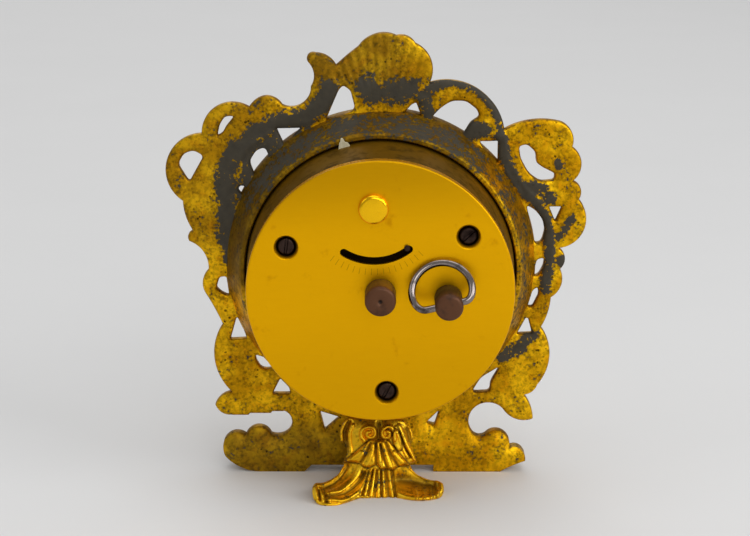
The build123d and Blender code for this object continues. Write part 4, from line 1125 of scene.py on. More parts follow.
@dataclass
class FrameCasting:
    """Openwork gilt frame with its collar, base and lug."""

    unit: float = 38.5
    floor: float = -54.5
    half: float = 2.2
    base_front: float = 5.0
    base_rear: float = 4.0
    arch_rise: float = 1.8
    bore: float = 33.1
    seat_bore: float = 31.5
    rim: float = 34.3
    collar_foot: float = 1.0
    collar_depth: float = 11.0
    collar_edge: float = 0.25
    collar_segments: int = 240
    plate_hole: float = 35.6
    roll: float = 2.6
    crease: float = 0.35
    edge_step: float = 0.34
    spacing: float = 0.42
    lug_width: float = 13.0
    lug_reach: float = 13.0
    lug_low: float = 3.0
    lug_high: float = 5.5
    flute_count: int = 76
    flute_depth: float = 0.13
    flute_centre: Point = (0.5, 26.0)
    shell_ribs: int = 7
    shell_rise: float = 0.9
    shell_radius: float = 18.5
    shell_centre: Point = (1.0, 40.5)
    groove_place: float = 1.5
    groove_width: float = 0.35
    groove_depth: float = 0.5
    lobes: tuple[Point, ...] = (
        (-0.24, 1.31), (-0.19, 1.36), (-0.14, 1.40), (-0.03, 1.48), (0.10, 1.47), (0.17, 1.465),
        (0.22, 1.42), (0.305, 1.345), (0.31, 1.17), (0.62, 1.125), (0.785, 0.87), (0.95, 0.925),
        (1.14, 0.915), (1.20, 0.87), (1.22, 0.75), (1.28, 0.65), (1.23, 0.53), (1.275, 0.49),
        (1.27, 0.41), (1.32, 0.29), (1.15, 0.095), (1.19, 0.02), (1.16, -0.045), (1.175, -0.13),
        (1.105, -0.235), (1.10, -0.28), (1.045, -0.44), (1.105, -0.62), (1.03, -0.84), (0.995, -0.89),
        (0.945, -0.91), (0.985, -0.98), (1.005, -1.075), (0.92, -1.085), (0.81, -1.015), (0.62, -1.00),
        (0.605, -1.165), (0.64, -1.19), (0.69, -1.18), (0.79, -1.155), (0.85, -1.265), (0.925, -1.27),
        (0.955, -1.34))
    base_ends: tuple[float, ...] = (0.88, 0.79, 0.35, -0.50, -0.79, -0.95)
    left_lobes: tuple[Point, ...] = (
        (-1.02, -1.31), (-1.015, -1.20), (-0.885, -1.185), (-0.79, -1.125), (-0.715, -1.18), (-0.655, -1.185),
        (-0.595, -1.145), (-0.585, -1.075), (-0.64, -1.02), (-0.81, -1.035), (-0.98, -1.05), (-1.05, -1.03),
        (-1.085, -0.98), (-1.045, -0.92), (-0.975, -0.89), (-1.08, -0.69), (-1.025, -0.42), (-1.07, -0.32),
        (-1.125, -0.22), (-1.15, -0.14), (-1.11, -0.05), (-1.135, 0.06), (-1.23, 0.14), (-1.235, 0.18),
        (-1.205, 0.21), (-1.25, 0.31), (-1.265, 0.405), (-1.37, 0.615), (-1.135, 0.845), (-1.05, 1.01),
        (-0.83, 1.015), (-0.70, 1.07), (-0.62, 1.015), (-0.52, 1.01), (-0.44, 1.13), (-0.42, 1.205),
        (-0.455, 1.285), (-0.46, 1.325), (-0.41, 1.345), (-0.335, 1.325), (-0.28, 1.27))
    openings: tuple[tuple[Point, ...], ...] = (
        ((-1.29, 0.645), (-1.25, 0.715), (-1.19, 0.735), (-1.125, 0.70), (-1.19, 0.585), (-1.22, 0.53)),
        ((-0.925, 0.957), (-0.985, 0.955), (-1.02, 0.90), (-1.035, 0.83), (-1.00, 0.85), (-0.98, 0.89)),
        ((-0.35, 0.905), (-0.262, 1.115), (-0.235, 1.145), (-0.19, 1.12), (-0.16, 1.00)),
        ((-0.66, 0.862), (-0.505, 0.865), (-0.56, 0.81), (-0.615, 0.765)),
        ((-0.835, 0.665), (-0.79, 0.73), (-0.735, 0.742), (-0.71, 0.69), (-0.795, 0.555)),
        ((-0.91, 0.48), (-0.895, 0.507), (-0.86, 0.50), (-0.855, 0.465), (-0.88, 0.445)),
        ((0.13, 0.955), (0.195, 1.03), (0.225, 1.045), (0.26, 0.95)),
        ((0.32, 0.945), (0.38, 1.01), (0.45, 1.055), (0.54, 1.055), (0.61, 1.00), (0.625, 0.955),
         (0.57, 0.92), (0.52, 0.835), (0.42, 0.89)),
        ((0.63, 0.795), (0.745, 0.795), (0.745, 0.655), (0.68, 0.715)),
        ((0.88, 0.755), (0.93, 0.768), (0.985, 0.72), (0.99, 0.65), (1.03, 0.62), (1.11, 0.58),
         (1.105, 0.538), (1.015, 0.528), (0.945, 0.58), (0.892, 0.675)),
        ((0.935, 0.375), (0.99, 0.345), (1.04, 0.285), (1.055, 0.21), (1.035, 0.14), (0.995, 0.128),
         (0.965, 0.25)),
        ((1.08, 0.365), (1.16, 0.365), (1.12, 0.275)),
        ((0.985, -0.085), (1.01, 0.02), (1.055, 0.03), (1.05, -0.03), (1.02, -0.085)),
        ((0.955, -0.295), (0.985, -0.19), (1.015, -0.165), (1.025, -0.21), (0.985, -0.295)),
        ((0.945, -0.375), (0.96, -0.38), (0.985, -0.48), (0.89, -0.485)),
        ((0.78, -0.715), (0.72, -0.82), (0.715, -0.885), (0.60, -0.89), (0.66, -0.79)),
        ((0.305, -1.10), (0.385, -1.02), (0.355, -1.115)),
        ((-1.06, -0.17), (-1.04, -0.10), (-0.995, -0.095), (-0.98, -0.225), (-1.03, -0.20)),
        ((-0.935, -0.375), (-0.915, -0.38), (-0.87, -0.52), (-0.975, -0.525)),
        ((-0.815, -0.635), (-0.81, -0.67), (-0.775, -0.73), (-0.70, -0.73), (-0.74, -0.66)),
        ((-0.705, -0.90), (-0.655, -0.80), (-0.60, -0.86), (-0.59, -0.90)),
        ((-0.395, -1.025), (-0.27, -1.065), (-0.365, -1.15)))
    strokes: tuple[Stroke, ...] = (
        Stroke(Side.REAR, LEFT_SCROLL, 2.2, 0.5, 0.95),
        Stroke(Side.REAR, ((-33.0, 28.6), (-27.0, 32.0), (-21.0, 34.6)), 3.4, 0.0, 0.85),
        Stroke(Side.REAR, ((-24.0, 30.8), (-29.0, 27.2), (-32.4, 22.6), (-33.8, 17.6)), 2.0, 0.3, 0.7),
        Stroke(Side.REAR, ((-4.0, 43.4), (1.0, 42.8), (6.9, 43.6)), 2.6, 0.2, 0.85),
        Stroke(Side.REAR, ((-4.6, 46.0), (-2.0, 46.6)), 1.2, 0.0, 0.6),
        Stroke(Side.REAR, ((9.8, 41.6), (14.4, 44.9), (20.2, 45.2), (25.6, 42.0), (28.6, 37.0), (28.4, 32.4)),
               1.4, 0.4, 0.75),
        Stroke(Side.REAR, ((10.6, 40.4), (11.6, 37.6)), 1.6, 0.2, 0.8),
        Stroke(Side.REAR, ((21.8, 33.4), (25.2, 33.6)), 2.0, 0.3, 0.95),
        Stroke(Side.REAR, (*RIGHT_SCROLL, (41.2, -6.9)), 1.3, 0.5, 0.8),
        Stroke(Side.REAR, ((36.5, 19.0), (40.0, 18.4), (41.5, 16.8)), 1.6, 0.2, 0.8),
        Stroke(Side.REAR, ((47.2, 11.6), (45.8, 9.0), (44.2, 6.6)), 1.0, 0.2, 0.8),
        Stroke(Side.REAR, ((44.6, 1.2), (44.9, 0.0)), 0.9, 0.1, 0.85),
        Stroke(Side.REAR, ((43.2, 25.6), (43.6, 24.4)), 0.8, 0.1, 0.8),
        Stroke(Side.REAR, ((37.9, -18.8), (34.5, -21.7), (30.8, -24.4)), 1.6, 0.3, 0.75),
        Stroke(Side.FRONT, LEFT_SCROLL, 2.2, 1.5),
        Stroke(Side.FRONT, ((9.6, 41.0), (14.4, 44.9), (19.7, 45.4), (24.6, 42.2), (27.1, 37.3),
                            (27.2, 32.4)), 1.8, 1.4),
        Stroke(Side.FRONT, (*RIGHT_SCROLL, (40.4, -6.9)), 2.0, 1.5))

    def outline(self) -> np.ndarray:
        """Outer edge: round lobes between cusps and a flat footed base."""
        runs = []
        right = [np.array(p) * self.unit for p in self.lobes]
        left = [np.array(p) * self.unit for p in self.left_lobes]
        for i in range(0, len(right) - 2, 2):
            runs.append(arc(*right[i:i + 3], self.edge_step))
        end, corner, flat, left_flat, left_corner, left_end = (s * self.unit for s in self.base_ends)
        low = self.floor + self.arch_rise
        runs.append(arc(right[-1], (end, low), (corner, self.floor), self.edge_step))
        runs.append(self._straight(((corner, self.floor), (flat, self.floor), (flat, low),
                                    (left_flat + self.arch_rise, low), (left_flat, self.floor),
                                    (left_corner, self.floor))))
        runs.append(arc((left_corner, self.floor), (left_end, low), left[0], self.edge_step))
        for i in range(0, len(left) - 2, 2):
            runs.append(arc(*left[i:i + 3], self.edge_step))
        runs.append(self._straight((left[-1], right[0])))
        return self._lifted(np.vstack(runs))

    def _lifted(self, points: np.ndarray) -> np.ndarray:
        """Points raised by the little that a view from above hides behind the rear edge."""
        x, y = points.T
        low = 0.38 * ease(-y, 12.0, 24.0) * ease(y, self.floor + 3, self.floor + 7)
        left = 0.6 * ease(-x, 6.0, 12.0) * (1 - ease(-x, 27.0, 33.0)) * ease(y, 22.0, 30.0)
        right = 0.3 * ease(x, 26.0, 32.0) * ease(y, 10.0, 18.0)
        return np.column_stack([x, y + low + left + right])

    def _straight(self, corners: Sequence[Point]) -> np.ndarray:
        """Points along straight runs, without the last corner."""
        runs = []
        for start, end in zip(corners, corners[1:]):
            count = max(1, round(math.dist(start, end) / self.edge_step))
            shares = np.arange(count)[:, None] / count
            runs.append(np.asarray(start) + shares * (np.asarray(end) - np.asarray(start)))
        return np.vstack(runs)

    def build(self, drawing: Drawing, finishes: Finishes) -> None:
        """Makes the frame and puts it in the place of its CAD node.

        Args:
            drawing: Frame that it is drawn in.
            finishes: Finishes of the clock.
        """
        rounds = [0.4 if len(opening) < 5 else 1.2 for opening in self.openings]
        holes = [self._lifted(blunted(np.array(opening) * self.unit, size, self.edge_step))
                 for opening, size in zip(self.openings, rounds)]
        holes.append(circle(self.plate_hole, 320))
        relief = Relief(self.outline(), holes, self.spacing)
        points, faces = relief.shell(self.rear(relief), self.front(relief))
        count = len(relief.plan)
        bare = np.zeros(2 * count)
        rim = 0.4 - 0.4 * ease(relief.inset, 0.02, 0.3)
        for stroke, gap in self._strokes_on(Side.REAR, relief):
            worn = stroke.bare * (1 - ease(gap, 0.2 * stroke.width, 1.8 * stroke.width))
            bare[:count] = np.maximum(bare[:count], worn)
        x, y = relief.plan.T
        # Painted shade: the base's left half, the left loop and the lower left darker, as the light falls
        # from the right; the crest is darkened too, most on its left. The rim tag carries it with the
        # darkening along the edges.
        shaded_low_left = ease(-x, -6.0, 6.0) * (1 - ease(y, self.floor + 9, self.floor + 16))
        crest = 0.5 * ease(y, 38.0, 46.0) * (1 - 0.6 * ease(x, 1.0, 9.0))
        dull = 0.53 * shaded_low_left + crest + 0.26 * ease(-x, 20.0, 34.0) * ease(y, -4.0, 8.0)
        dull += 0.06 * ease(-x, 10.0, 20.0) * (1 - ease(y, -10.0, 0.0))
        rim = np.maximum(rim, np.minimum(dull, 0.6))
        shape = Shape().add(points, faces, bare=bare, rim=np.concatenate([rim, rim]))
        self._collar(shape)
        low, high = self.floor + self.lug_low, self.floor + self.lug_high
        corners = [(side * self.lug_width / 2, y) for side, y in ((-1, low), (1, low), (1, high), (-1, high))]
        shape.prism(blunted(corners, 0.5, 1.0), 0.0, self.lug_reach)
        place_piece("gilt_frame", shape, drawing, finishes.gilt, ["frame_casting"])

    def _collar(self, shape: Shape) -> None:
        """Adds the conical collar, rubbed bare in patches along its top, with painted shade on its left side
        and darkening along its top and a little on its right.
        """
        edge, segments = self.collar_edge, self.collar_segments
        profile = spline([(self.unit, -self.half), (self.unit, self.collar_foot), (37.4, 3.4), (36.2, 6.4),
                          (35.1, 9.2), (self.rim + edge, self.collar_depth - 2 * edge),
                          (self.rim - edge, self.collar_depth)], 3)
        inner = [(self.bore + edge, self.collar_depth), (self.bore, self.collar_depth - edge),
                 (self.bore, 0.0), (self.seat_bore, 0.0), (self.seat_bore, -self.half)]
        section = np.vstack([profile, inner])
        angles = np.tile(np.degrees(math.tau * np.arange(segments) / segments), len(section))
        depths = np.repeat(section[:, 1], segments)
        top = ease(angles, 36, 60) * (1 - ease(angles, 140, 170))
        # Painted shade on the collar's left side.
        left = ease(angles, 110, 140) * (1 - ease(angles, 178, 200))
        right = 1 - ease(angles, 30, 60) + ease(angles, 330, 350)
        ring = np.repeat(ease(section[:, 1], 10.0, 10.9), segments)
        bare = (0.5 * top + 0.24 * right) * ease(depths, 1.0, 5.0) * (1 - 0.6 * ring)
        shape.turned(section, segments, bare=bare, rim=np.maximum(0.62 * top, 0.72 * left) + 0.14 * right)

    def _strokes_on(self, side: Side, relief: Relief) -> Iterator[tuple[Stroke, np.ndarray]]:
        """Strokes on one face, each with the distance of the plan's points from it."""
        for stroke in self.strokes:
            if stroke.side is side:
                yield stroke, stroke_distance(relief.plan, spline(stroke.points, 6))

    def _base(self, relief: Relief, low: float, high: float) -> np.ndarray:
        """Share of the base's extra thickness at each point, full below one height and gone above another."""
        return 1 - ease(relief.plan[:, 1], self.floor + low, self.floor + high)

    def rear(self, relief: Relief) -> np.ndarray:
        """Depth of the rear face: softly rounded bars, rubbed bands a little proud and a thicker base."""
        inset = np.maximum(relief.inset, 2 * self.roll * self._base(relief, 0.0, 9.0))
        depth = self.half * (0.48 + 0.22 * pillow(inset, self.crease) + 0.22 * pillow(inset, self.roll))
        x, y = relief.plan.T
        flutes = ease(y, 43.5, 46.5) * (1 - ease(np.abs(x), 10.0, 12.5)) * pillow(inset, 1.5)
        across, up = self.flute_centre
        waves = 1 + np.cos(self.flute_count * np.arctan2(x - across, y - up))
        depth -= 0.2 * ease(inset, 2.0, 5.0) + self.flute_depth * flutes * waves
        for stroke, gap in self._strokes_on(Side.REAR, relief):
            band = 1 - ease(gap, 0.6 * stroke.width, 1.4 * stroke.width)
            depth += 0.7 * stroke.rise * band * pillow(inset, 1.0)
        swell = (self.base_rear - self.half) * pillow(inset, 2 * self.roll)
        return depth + self._base(relief, 3.0, 16.0) * swell

    def front(self, relief: Relief) -> np.ndarray:
        """Depth of the front face: a moulded edge, raised scrolls and a fluted shell."""
        inset = relief.inset
        groove = np.exp(-((inset - self.groove_place) / self.groove_width) ** 2)
        height = self.half * (1.1 * pillow(inset, 2.2) - 0.1) - self.groove_depth * groove
        height += 0.6 * pillow(inset - self.groove_place, 2.5)
        for stroke, gap in self._strokes_on(Side.FRONT, relief):
            ridge = np.sqrt(np.clip(1 - (gap / stroke.width) ** 2, 0, 1))
            crown = (self.half * 0.8 + stroke.rise * ridge) * ease(ridge, 0.0, 0.3) * pillow(inset, 1.0)
            height = np.maximum(height, crown)
        x, y = (relief.plan - np.array(self.shell_centre)).T
        edge = 1 - ease(np.hypot(x, y), self.shell_radius - 1.5, self.shell_radius)
        shell = ease(y, 0.0, 2.5) * edge * (1 - ease(np.abs(x), 10.5, 12.0))
        ribs = self.shell_rise * np.abs(np.cos(self.shell_ribs * np.arctan2(x, y)))
        height += shell * pillow(inset, 1.5) * (ribs + 0.5)
        swell = 0.9 * (self.base_front - self.half) * pillow(inset, self.roll)
        height += self._base(relief, 1.5, 7.5) * swell
        return -np.minimum(height, self.base_front)


@dataclass(frozen=True)
class Chase:
    """Line chased into the foot.

    Attributes:
        points: Place across, height over the floor and depth of its points.
        width: Half of its width.
        rise: Height of a ridge, or less than nothing for a groove.
    """

    points: tuple[Point, ...]
    width: float
    rise: float


@dataclass
class RearFoot:
    """Acanthus strut foot: volutes over a ribbed skirt, a fan and two curled toes.

    The leaf is modelled towards an eye that looks down on it by the tilt, as it is meant to be seen.
    """

    floor: float = -54.5
    tilt: float = 20.5
    spacing: float = 0.17
    sheet: float = 2.4
    step: float = 0.2
    softness: float = 1.5
    console_half: float = 7.2
    console_taper: float = 1.6
    console_height: float = 17.8
    console: tuple[Point, ...] = (
        (4.3, 5.5), (4.3, 12.4), (8.4, 15.0), (11.6, 16.8), (13.0, 16.4), (14.2, 12.0), (15.2, 6.0),
        (15.4, 1.4), (13.6, 1.4), (13.6, 5.5))
    edge: tuple[Point, ...] = (
        (-8.0, 17.6, 12.4), (-9.0, 16.6, 12.8), (-9.9, 15.0, 13.3), (-10.1, 13.4, 13.8), (-9.8, 11.8, 14.3),
        (-8.9, 12.2, 14.4), (-8.3, 10.8, 14.9), (-8.2, 9.2, 15.5), (-9.3, 7.5, 16.6), (-9.0, 6.4, 15.8),
        (-10.5, 4.4, 17.4), (-12.2, 3.8, 19.0), (-14.2, 3.5, 20.5), (-15.9, 4.1, 22.0), (-16.6, 3.6, 23.2),
        (-16.7, 2.6, 24.4), (-16.3, 1.3, 25.7), (-15.2, 0.3, 26.7), (-13.3, 0.0, 27.3), (-10.8, 0.0, 27.2),
        (-8.8, 0.2, 26.0), (-6.6, 0.3, 24.0), (-4.7, 0.2, 22.0), (-3.7, 0.2, 22.3), (-2.2, 0.1, 22.0),
        (-0.4, 0.0, 21.9), (1.3, 0.0, 21.8), (3.6, 0.0, 21.7), (4.4, 0.0, 22.2), (6.6, 0.0, 23.3),
        (9.1, 0.0, 23.9), (11.6, 0.0, 23.7), (13.9, 0.1, 22.9), (15.2, 0.5, 21.8), (15.8, 1.6, 20.4),
        (15.5, 2.8, 18.8), (14.2, 3.3, 18.3), (12.9, 3.2, 18.0), (11.2, 3.5, 17.5), (9.2, 4.2, 16.8),
        (7.9, 5.3, 16.0), (7.4, 6.4, 15.8), (7.6, 7.2, 16.5), (9.0, 7.6, 16.2), (8.2, 9.6, 15.6),
        (7.4, 11.6, 15.0), (8.3, 12.4, 13.4), (8.0, 14.2, 12.9), (6.8, 16.0, 12.9), (6.0, 17.2, 12.9),
        (3.0, 17.8, 13.3), (0.0, 17.9, 13.5), (-4.0, 17.9, 13.2))
    skirt: tuple[Point, ...] = (
        (-2.6, 13.0, 15.8), (-5.7, 10.4, 16.3), (-9.2, 7.5, 16.7), (-6.7, 7.7, 17.2), (-4.9, 7.5, 17.6),
        (-3.7, 6.6, 18.2), (-2.2, 7.0, 18.4), (-1.0, 7.7, 18.4), (0.3, 6.4, 18.8), (1.6, 6.7, 18.8),
        (2.9, 6.1, 18.6), (4.4, 6.9, 18.0), (7.2, 6.9, 17.0), (4.4, 10.1, 16.4), (2.0, 13.0, 15.8))
    leaf: tuple[Point, ...] = (
        (3.6, 15.6, 14.8), (2.9, 13.6, 15.4), (3.3, 11.6, 15.9), (4.3, 10.0, 16.2), (5.3, 10.6, 16.0),
        (5.2, 13.0, 15.4), (4.6, 15.2, 14.9))
    chasing: tuple[Chase, ...] = (
        Chase(((-9.2, 6.0, 16.0), (-10.7, 4.2, 17.6), (-12.3, 3.6, 19.2), (-14.2, 3.2, 20.8),
               (-15.6, 3.7, 22.2)), 0.45, 0.5),
        Chase(((-8.0, 6.3, 16.2), (-9.6, 4.2, 18.2), (-11.5, 3.1, 20.3), (-13.8, 2.7, 22.3)), 0.45, -0.5),
        Chase(((-4.9, 6.8, 17.4), (-5.9, 4.9, 18.5), (-8.0, 3.3, 20.2), (-10.9, 2.1, 22.6),
               (-13.2, 2.0, 24.2)), 0.9, 0.7),
        Chase(((-3.8, 5.2, 18.2), (-5.5, 3.2, 20.2), (-8.7, 1.8, 23.2), (-11.4, 1.9, 24.2),
               (-13.0, 1.9, 25.0)), 0.45, -0.8),
        Chase(((-2.9, 5.8, 18.3), (-3.9, 3.0, 20.4), (-6.3, 1.4, 23.0), (-8.9, 1.0, 25.3), (-11.4, 1.3, 25.6),
               (-13.0, 1.4, 25.9)), 0.6, 0.7),
        Chase(((-15.8, 3.4, 23.4), (-15.3, 1.6, 25.4)), 0.5, 0.6),
        Chase(((-14.4, 2.9, 24.0), (-13.9, 1.0, 26.2)), 0.5, 0.7),
        Chase(((-12.8, 2.4, 24.5), (-12.2, 0.9, 26.4)), 0.5, 0.6),
        Chase(((-15.1, 3.1, 23.8), (-14.6, 1.2, 25.8)), 0.3, -0.6),
        Chase(((-13.6, 2.6, 24.3), (-13.0, 0.9, 26.3)), 0.3, -0.6),
        Chase(((-3.4, 5.7, 18.4), (-4.9, 1.2, 22.4)), 0.4, 0.45),
        Chase(((-2.2, 6.1, 18.6), (-3.7, 0.9, 22.1)), 0.4, 0.45),
        Chase(((-1.3, 6.4, 18.8), (-2.2, 0.6, 22.0)), 0.38, 0.45),
        Chase(((-0.3, 5.9, 18.9), (-0.4, 0.2, 21.9)), 0.38, 0.45),
        Chase(((0.6, 6.2, 18.9), (1.1, 0.1, 21.8)), 0.38, 0.45),
        Chase(((2.1, 6.1, 18.7), (3.1, 0.1, 21.7)), 0.4, 0.45),
        Chase(((-2.8, 5.9, 18.5), (-4.3, 1.0, 22.2)), 0.25, -0.5),
        Chase(((-1.8, 6.2, 18.7), (-2.9, 0.8, 22.0)), 0.25, -0.5),
        Chase(((-0.8, 6.2, 18.8), (-1.3, 0.4, 21.9)), 0.25, -0.5),
        Chase(((0.2, 6.0, 18.9), (0.4, 0.1, 21.8)), 0.25, -0.5),
        Chase(((1.4, 6.2, 18.8), (2.1, 0.1, 21.7)), 0.3, -0.5),
        Chase(((3.0, 5.8, 18.3), (3.8, 0.3, 21.5)), 0.35, -0.7),
        Chase(((4.8, 3.6, 18.4), (8.0, 2.9, 18.4), (11.0, 2.2, 18.4), (13.0, 1.9, 18.6)), 1.5, -1.3),
        Chase(((4.6, 1.0, 21.2), (6.8, 0.8, 22.7), (9.1, 0.8, 23.3), (11.5, 0.8, 23.1), (13.5, 1.0, 22.2),
               (14.8, 1.8, 20.8), (15.0, 2.7, 19.5)), 0.7, 0.6),
        Chase(((7.7, 5.4, 16.1), (9.3, 4.3, 16.9), (11.2, 3.6, 17.6), (13.2, 3.3, 18.1), (14.6, 3.2, 18.5)),
              0.4, 0.5),
        Chase(((8.6, 2.0, 21.2), (9.0, 0.5, 23.3)), 0.45, 0.8),
        Chase(((10.6, 1.8, 21.2), (10.8, 0.4, 23.1)), 0.45, 0.8),
        Chase(((12.4, 2.3, 20.2), (12.6, 0.4, 22.6)), 0.45, 0.8),
        Chase(((13.8, 2.9, 19.3), (14.2, 0.5, 21.9)), 0.45, 0.8),
        Chase(((-2.4, 12.3, 16.0), (-3.7, 9.6, 17.4), (-4.9, 7.8, 17.6)), 0.35, -0.6),
        Chase(((-1.1, 12.8, 16.0), (-1.0, 7.9, 18.4)), 0.32, -0.6),
        Chase(((0.0, 12.0, 16.2), (0.7, 9.5, 17.6), (1.6, 6.9, 18.7)), 0.3, -0.5),
        Chase(((1.3, 12.6, 16.0), (2.6, 9.8, 17.2), (4.4, 7.0, 18.0)), 0.35, -0.6),
        Chase(((-1.7, 11.8, 16.3), (-2.4, 9.4, 17.8), (-3.5, 7.2, 18.2)), 0.6, 0.4),
        Chase(((-0.5, 12.2, 16.2), (-0.2, 9.6, 17.8), (0.2, 6.8, 18.7)), 0.5, 0.45),
        Chase(((0.7, 12.2, 16.2), (1.6, 9.6, 17.6), (2.8, 6.6, 18.5)), 0.6, 0.45),
        Chase(((-4.7, 9.8, 16.8), (-6.7, 8.4, 17.0)), 0.8, 0.35),
        Chase(((3.6, 10.0, 16.9), (5.6, 7.8, 17.2)), 0.7, 0.35),
        Chase(((-8.6, 17.0, 12.8), (-9.7, 15.0, 13.4), (-9.8, 13.2, 13.9), (-9.5, 12.0, 14.3)), 0.7, 0.7),
        Chase(((-7.7, 16.8, 13.2), (-8.7, 14.6, 14.0), (-8.6, 12.6, 14.4), (-8.2, 11.0, 14.9)), 0.5, -0.9),
        Chase(((-6.9, 16.2, 14.0), (-7.6, 14.4, 14.7), (-7.6, 12.0, 15.2), (-7.2, 9.7, 15.7)), 0.5, 0.6),
        Chase(((-3.9, 12.7, 15.8), (-4.7, 13.8, 15.6), (-4.6, 15.3, 15.5), (-3.4, 16.2, 15.4),
               (-2.0, 16.2, 15.5), (-1.2, 15.3, 15.8), (-1.3, 14.2, 16.0), (-2.3, 13.6, 16.1),
               (-3.3, 14.1, 16.0), (-3.2, 15.0, 15.9), (-2.5, 15.1, 15.9)), 0.5, 1.0),
        Chase(((3.6, 13.0, 15.8), (3.4, 14.8, 15.6), (2.8, 16.1, 15.4), (1.8, 16.4, 15.4), (0.7, 15.6, 15.6),
               (0.3, 14.5, 15.8), (1.0, 13.6, 15.9), (2.1, 13.8, 16.0), (2.4, 14.8, 16.0), (1.8, 15.2, 15.9)),
              0.5, 1.0),
        Chase(((-0.4, 17.0, 14.4), (-0.4, 13.4, 15.6)), 0.6, -0.8),
        Chase(((4.6, 16.2, 14.4), (5.6, 14.2, 15.0), (6.4, 12.1, 15.4), (7.6, 9.8, 15.9), (8.7, 7.9, 16.2)),
              0.6, 0.8),
        Chase(((3.9, 15.9, 14.6), (4.9, 13.0, 15.4), (5.7, 10.6, 15.9), (6.8, 8.6, 16.3)), 0.45, 0.5),
        Chase(((4.2, 16.0, 14.5), (5.2, 13.4, 15.2), (6.2, 11.0, 15.7), (7.6, 8.6, 16.2)), 0.3, -0.35),
        Chase(((7.2, 15.6, 12.9), (7.9, 13.9, 13.1), (8.1, 12.6, 13.4)), 0.5, 0.5),
        Chase(((6.6, 15.2, 13.6), (7.2, 13.0, 14.2), (7.9, 11.0, 14.9)), 0.45, -0.6))

    def build(self, drawing: Drawing, finishes: Finishes) -> None:
        """Makes the foot and puts it in the place of its CAD node.

        Args:
            drawing: Frame that it is drawn in.
            finishes: Finishes of the clock.
        """
        corners = self._tilted(self.edge)
        relief = Relief(blunted(corners[:, :2], 0.6, self.step), [], self.spacing, (0.1, 0.24))
        body = self._body(relief.plan)
        face, dark = self._modelled(relief, body)
        points, faces = relief.shell(face, body - self.sheet)
        turn = math.radians(self.tilt)
        across, seen, toward = points.T
        height = np.maximum(seen * math.cos(turn) + toward * math.sin(turn), 0.0)
        depth = toward * math.cos(turn) - seen * math.sin(turn)
        places = np.column_stack([across, self.floor + height, depth])
        shape = Shape().add(places, faces, rim=np.concatenate([dark, dark]))
        self._console(shape)
        place_piece("acanthus_foot", shape, drawing, finishes.bright_gilt, ["rear_foot"], 60.0)

    def _tilted(self, points: Sequence[Point]) -> np.ndarray:
        """Points as the eye sees them: place across, place up and distance towards the eye."""
        across, height, depth = np.asarray(points, float).T
        turn = math.radians(self.tilt)
        seen = height * math.cos(turn) - depth * math.sin(turn)
        toward = height * math.sin(turn) + depth * math.cos(turn)
        return np.column_stack([across, seen, toward])

    def _body(self, plan: np.ndarray) -> np.ndarray:
        """Smooth surface through every drawn point, under the chased relief.

        Args:
            plan: Points as the eye sees them.

        Returns:
            Distance towards the eye at each point.
        """
        drawn = [self.edge, self.skirt, self.leaf, *(line.points for line in self.chasing)]
        known = np.unique(np.vstack([self._tilted(points) for points in drawn]), axis=0)
        flat, rise = known[:, :2], known[:, 2]
        apart = np.linalg.norm(flat[:, None] - flat[None], axis=2)
        plane = np.column_stack([np.ones(len(flat)), flat])
        stiff = apart - self.softness * np.eye(len(flat))
        matrix = np.block([[stiff, plane], [plane.T, np.zeros((3, 3))]])
        weights = np.linalg.solve(matrix, np.concatenate([rise, np.zeros(3)]))
        reach = np.linalg.norm(plan[:, None] - flat[None], axis=2)
        return reach @ weights[:-3] + np.column_stack([np.ones(len(plan)), plan]) @ weights[-3:]

    def _modelled(self, relief: Relief, body: np.ndarray) -> tuple[np.ndarray, np.ndarray]:
        """Chased face of the foot and the darkening along its grooves and round its raised skirt and leaf.

        Args:
            relief: Plan of the foot.
            body: Smooth surface under the relief.

        Returns:
            Distance towards the eye and darkness at each point.
        """
        face = body - 0.7 * (1 - pillow(relief.inset, 0.6))
        dark = np.zeros(len(face))
        for patch, rise in ((self.skirt, 1.0), (self.leaf, 0.7)):
            loop = blunted(self._tilted(patch)[:, :2], 0.4, self.step)
            gap = stroke_distance(relief.plan, np.vstack([loop, loop[:1]]))
            within = inside(relief.plan, loop)
            face += np.where(within, rise * pillow(gap, 0.7), 0.0)
            dark = np.maximum(dark, np.where(within, 0.0, 0.9 * (1 - ease(gap, 0.1, 0.6))))
        for line in self.chasing:
            gap = stroke_distance(relief.plan, spline(self._tilted(line.points)[:, :2], 6))
            if line.rise > 0:
                face += line.rise * np.sqrt(np.clip(1 - (gap / line.width) ** 2, 0, 1))
            else:
                face += line.rise * np.exp(-(gap / line.width) ** 2)
                dark = np.maximum(dark, 0.8 * np.exp(-(gap / (0.9 * line.width)) ** 2))
        return face, dark

    def _console(self, shape: Shape) -> None:
        """Adds the block behind the leaf that stands on the frame's lug."""
        outline = np.array(self.console)
        half = self.console_half - self.console_taper * outline[:, 1] / self.console_height
        count = len(outline)
        sides = [np.column_stack([sign * half, self.floor + outline[:, 1], outline[:, 0]])
                 for sign in (-1, 1)]
        index = np.arange(count)
        following = np.roll(index, -1)
        walls = np.column_stack([index, following, following + count, index + count])
        shape.add(np.vstack(sides), [walls, index[::-1][None, :], index[None, :] + count], rim=0.3)


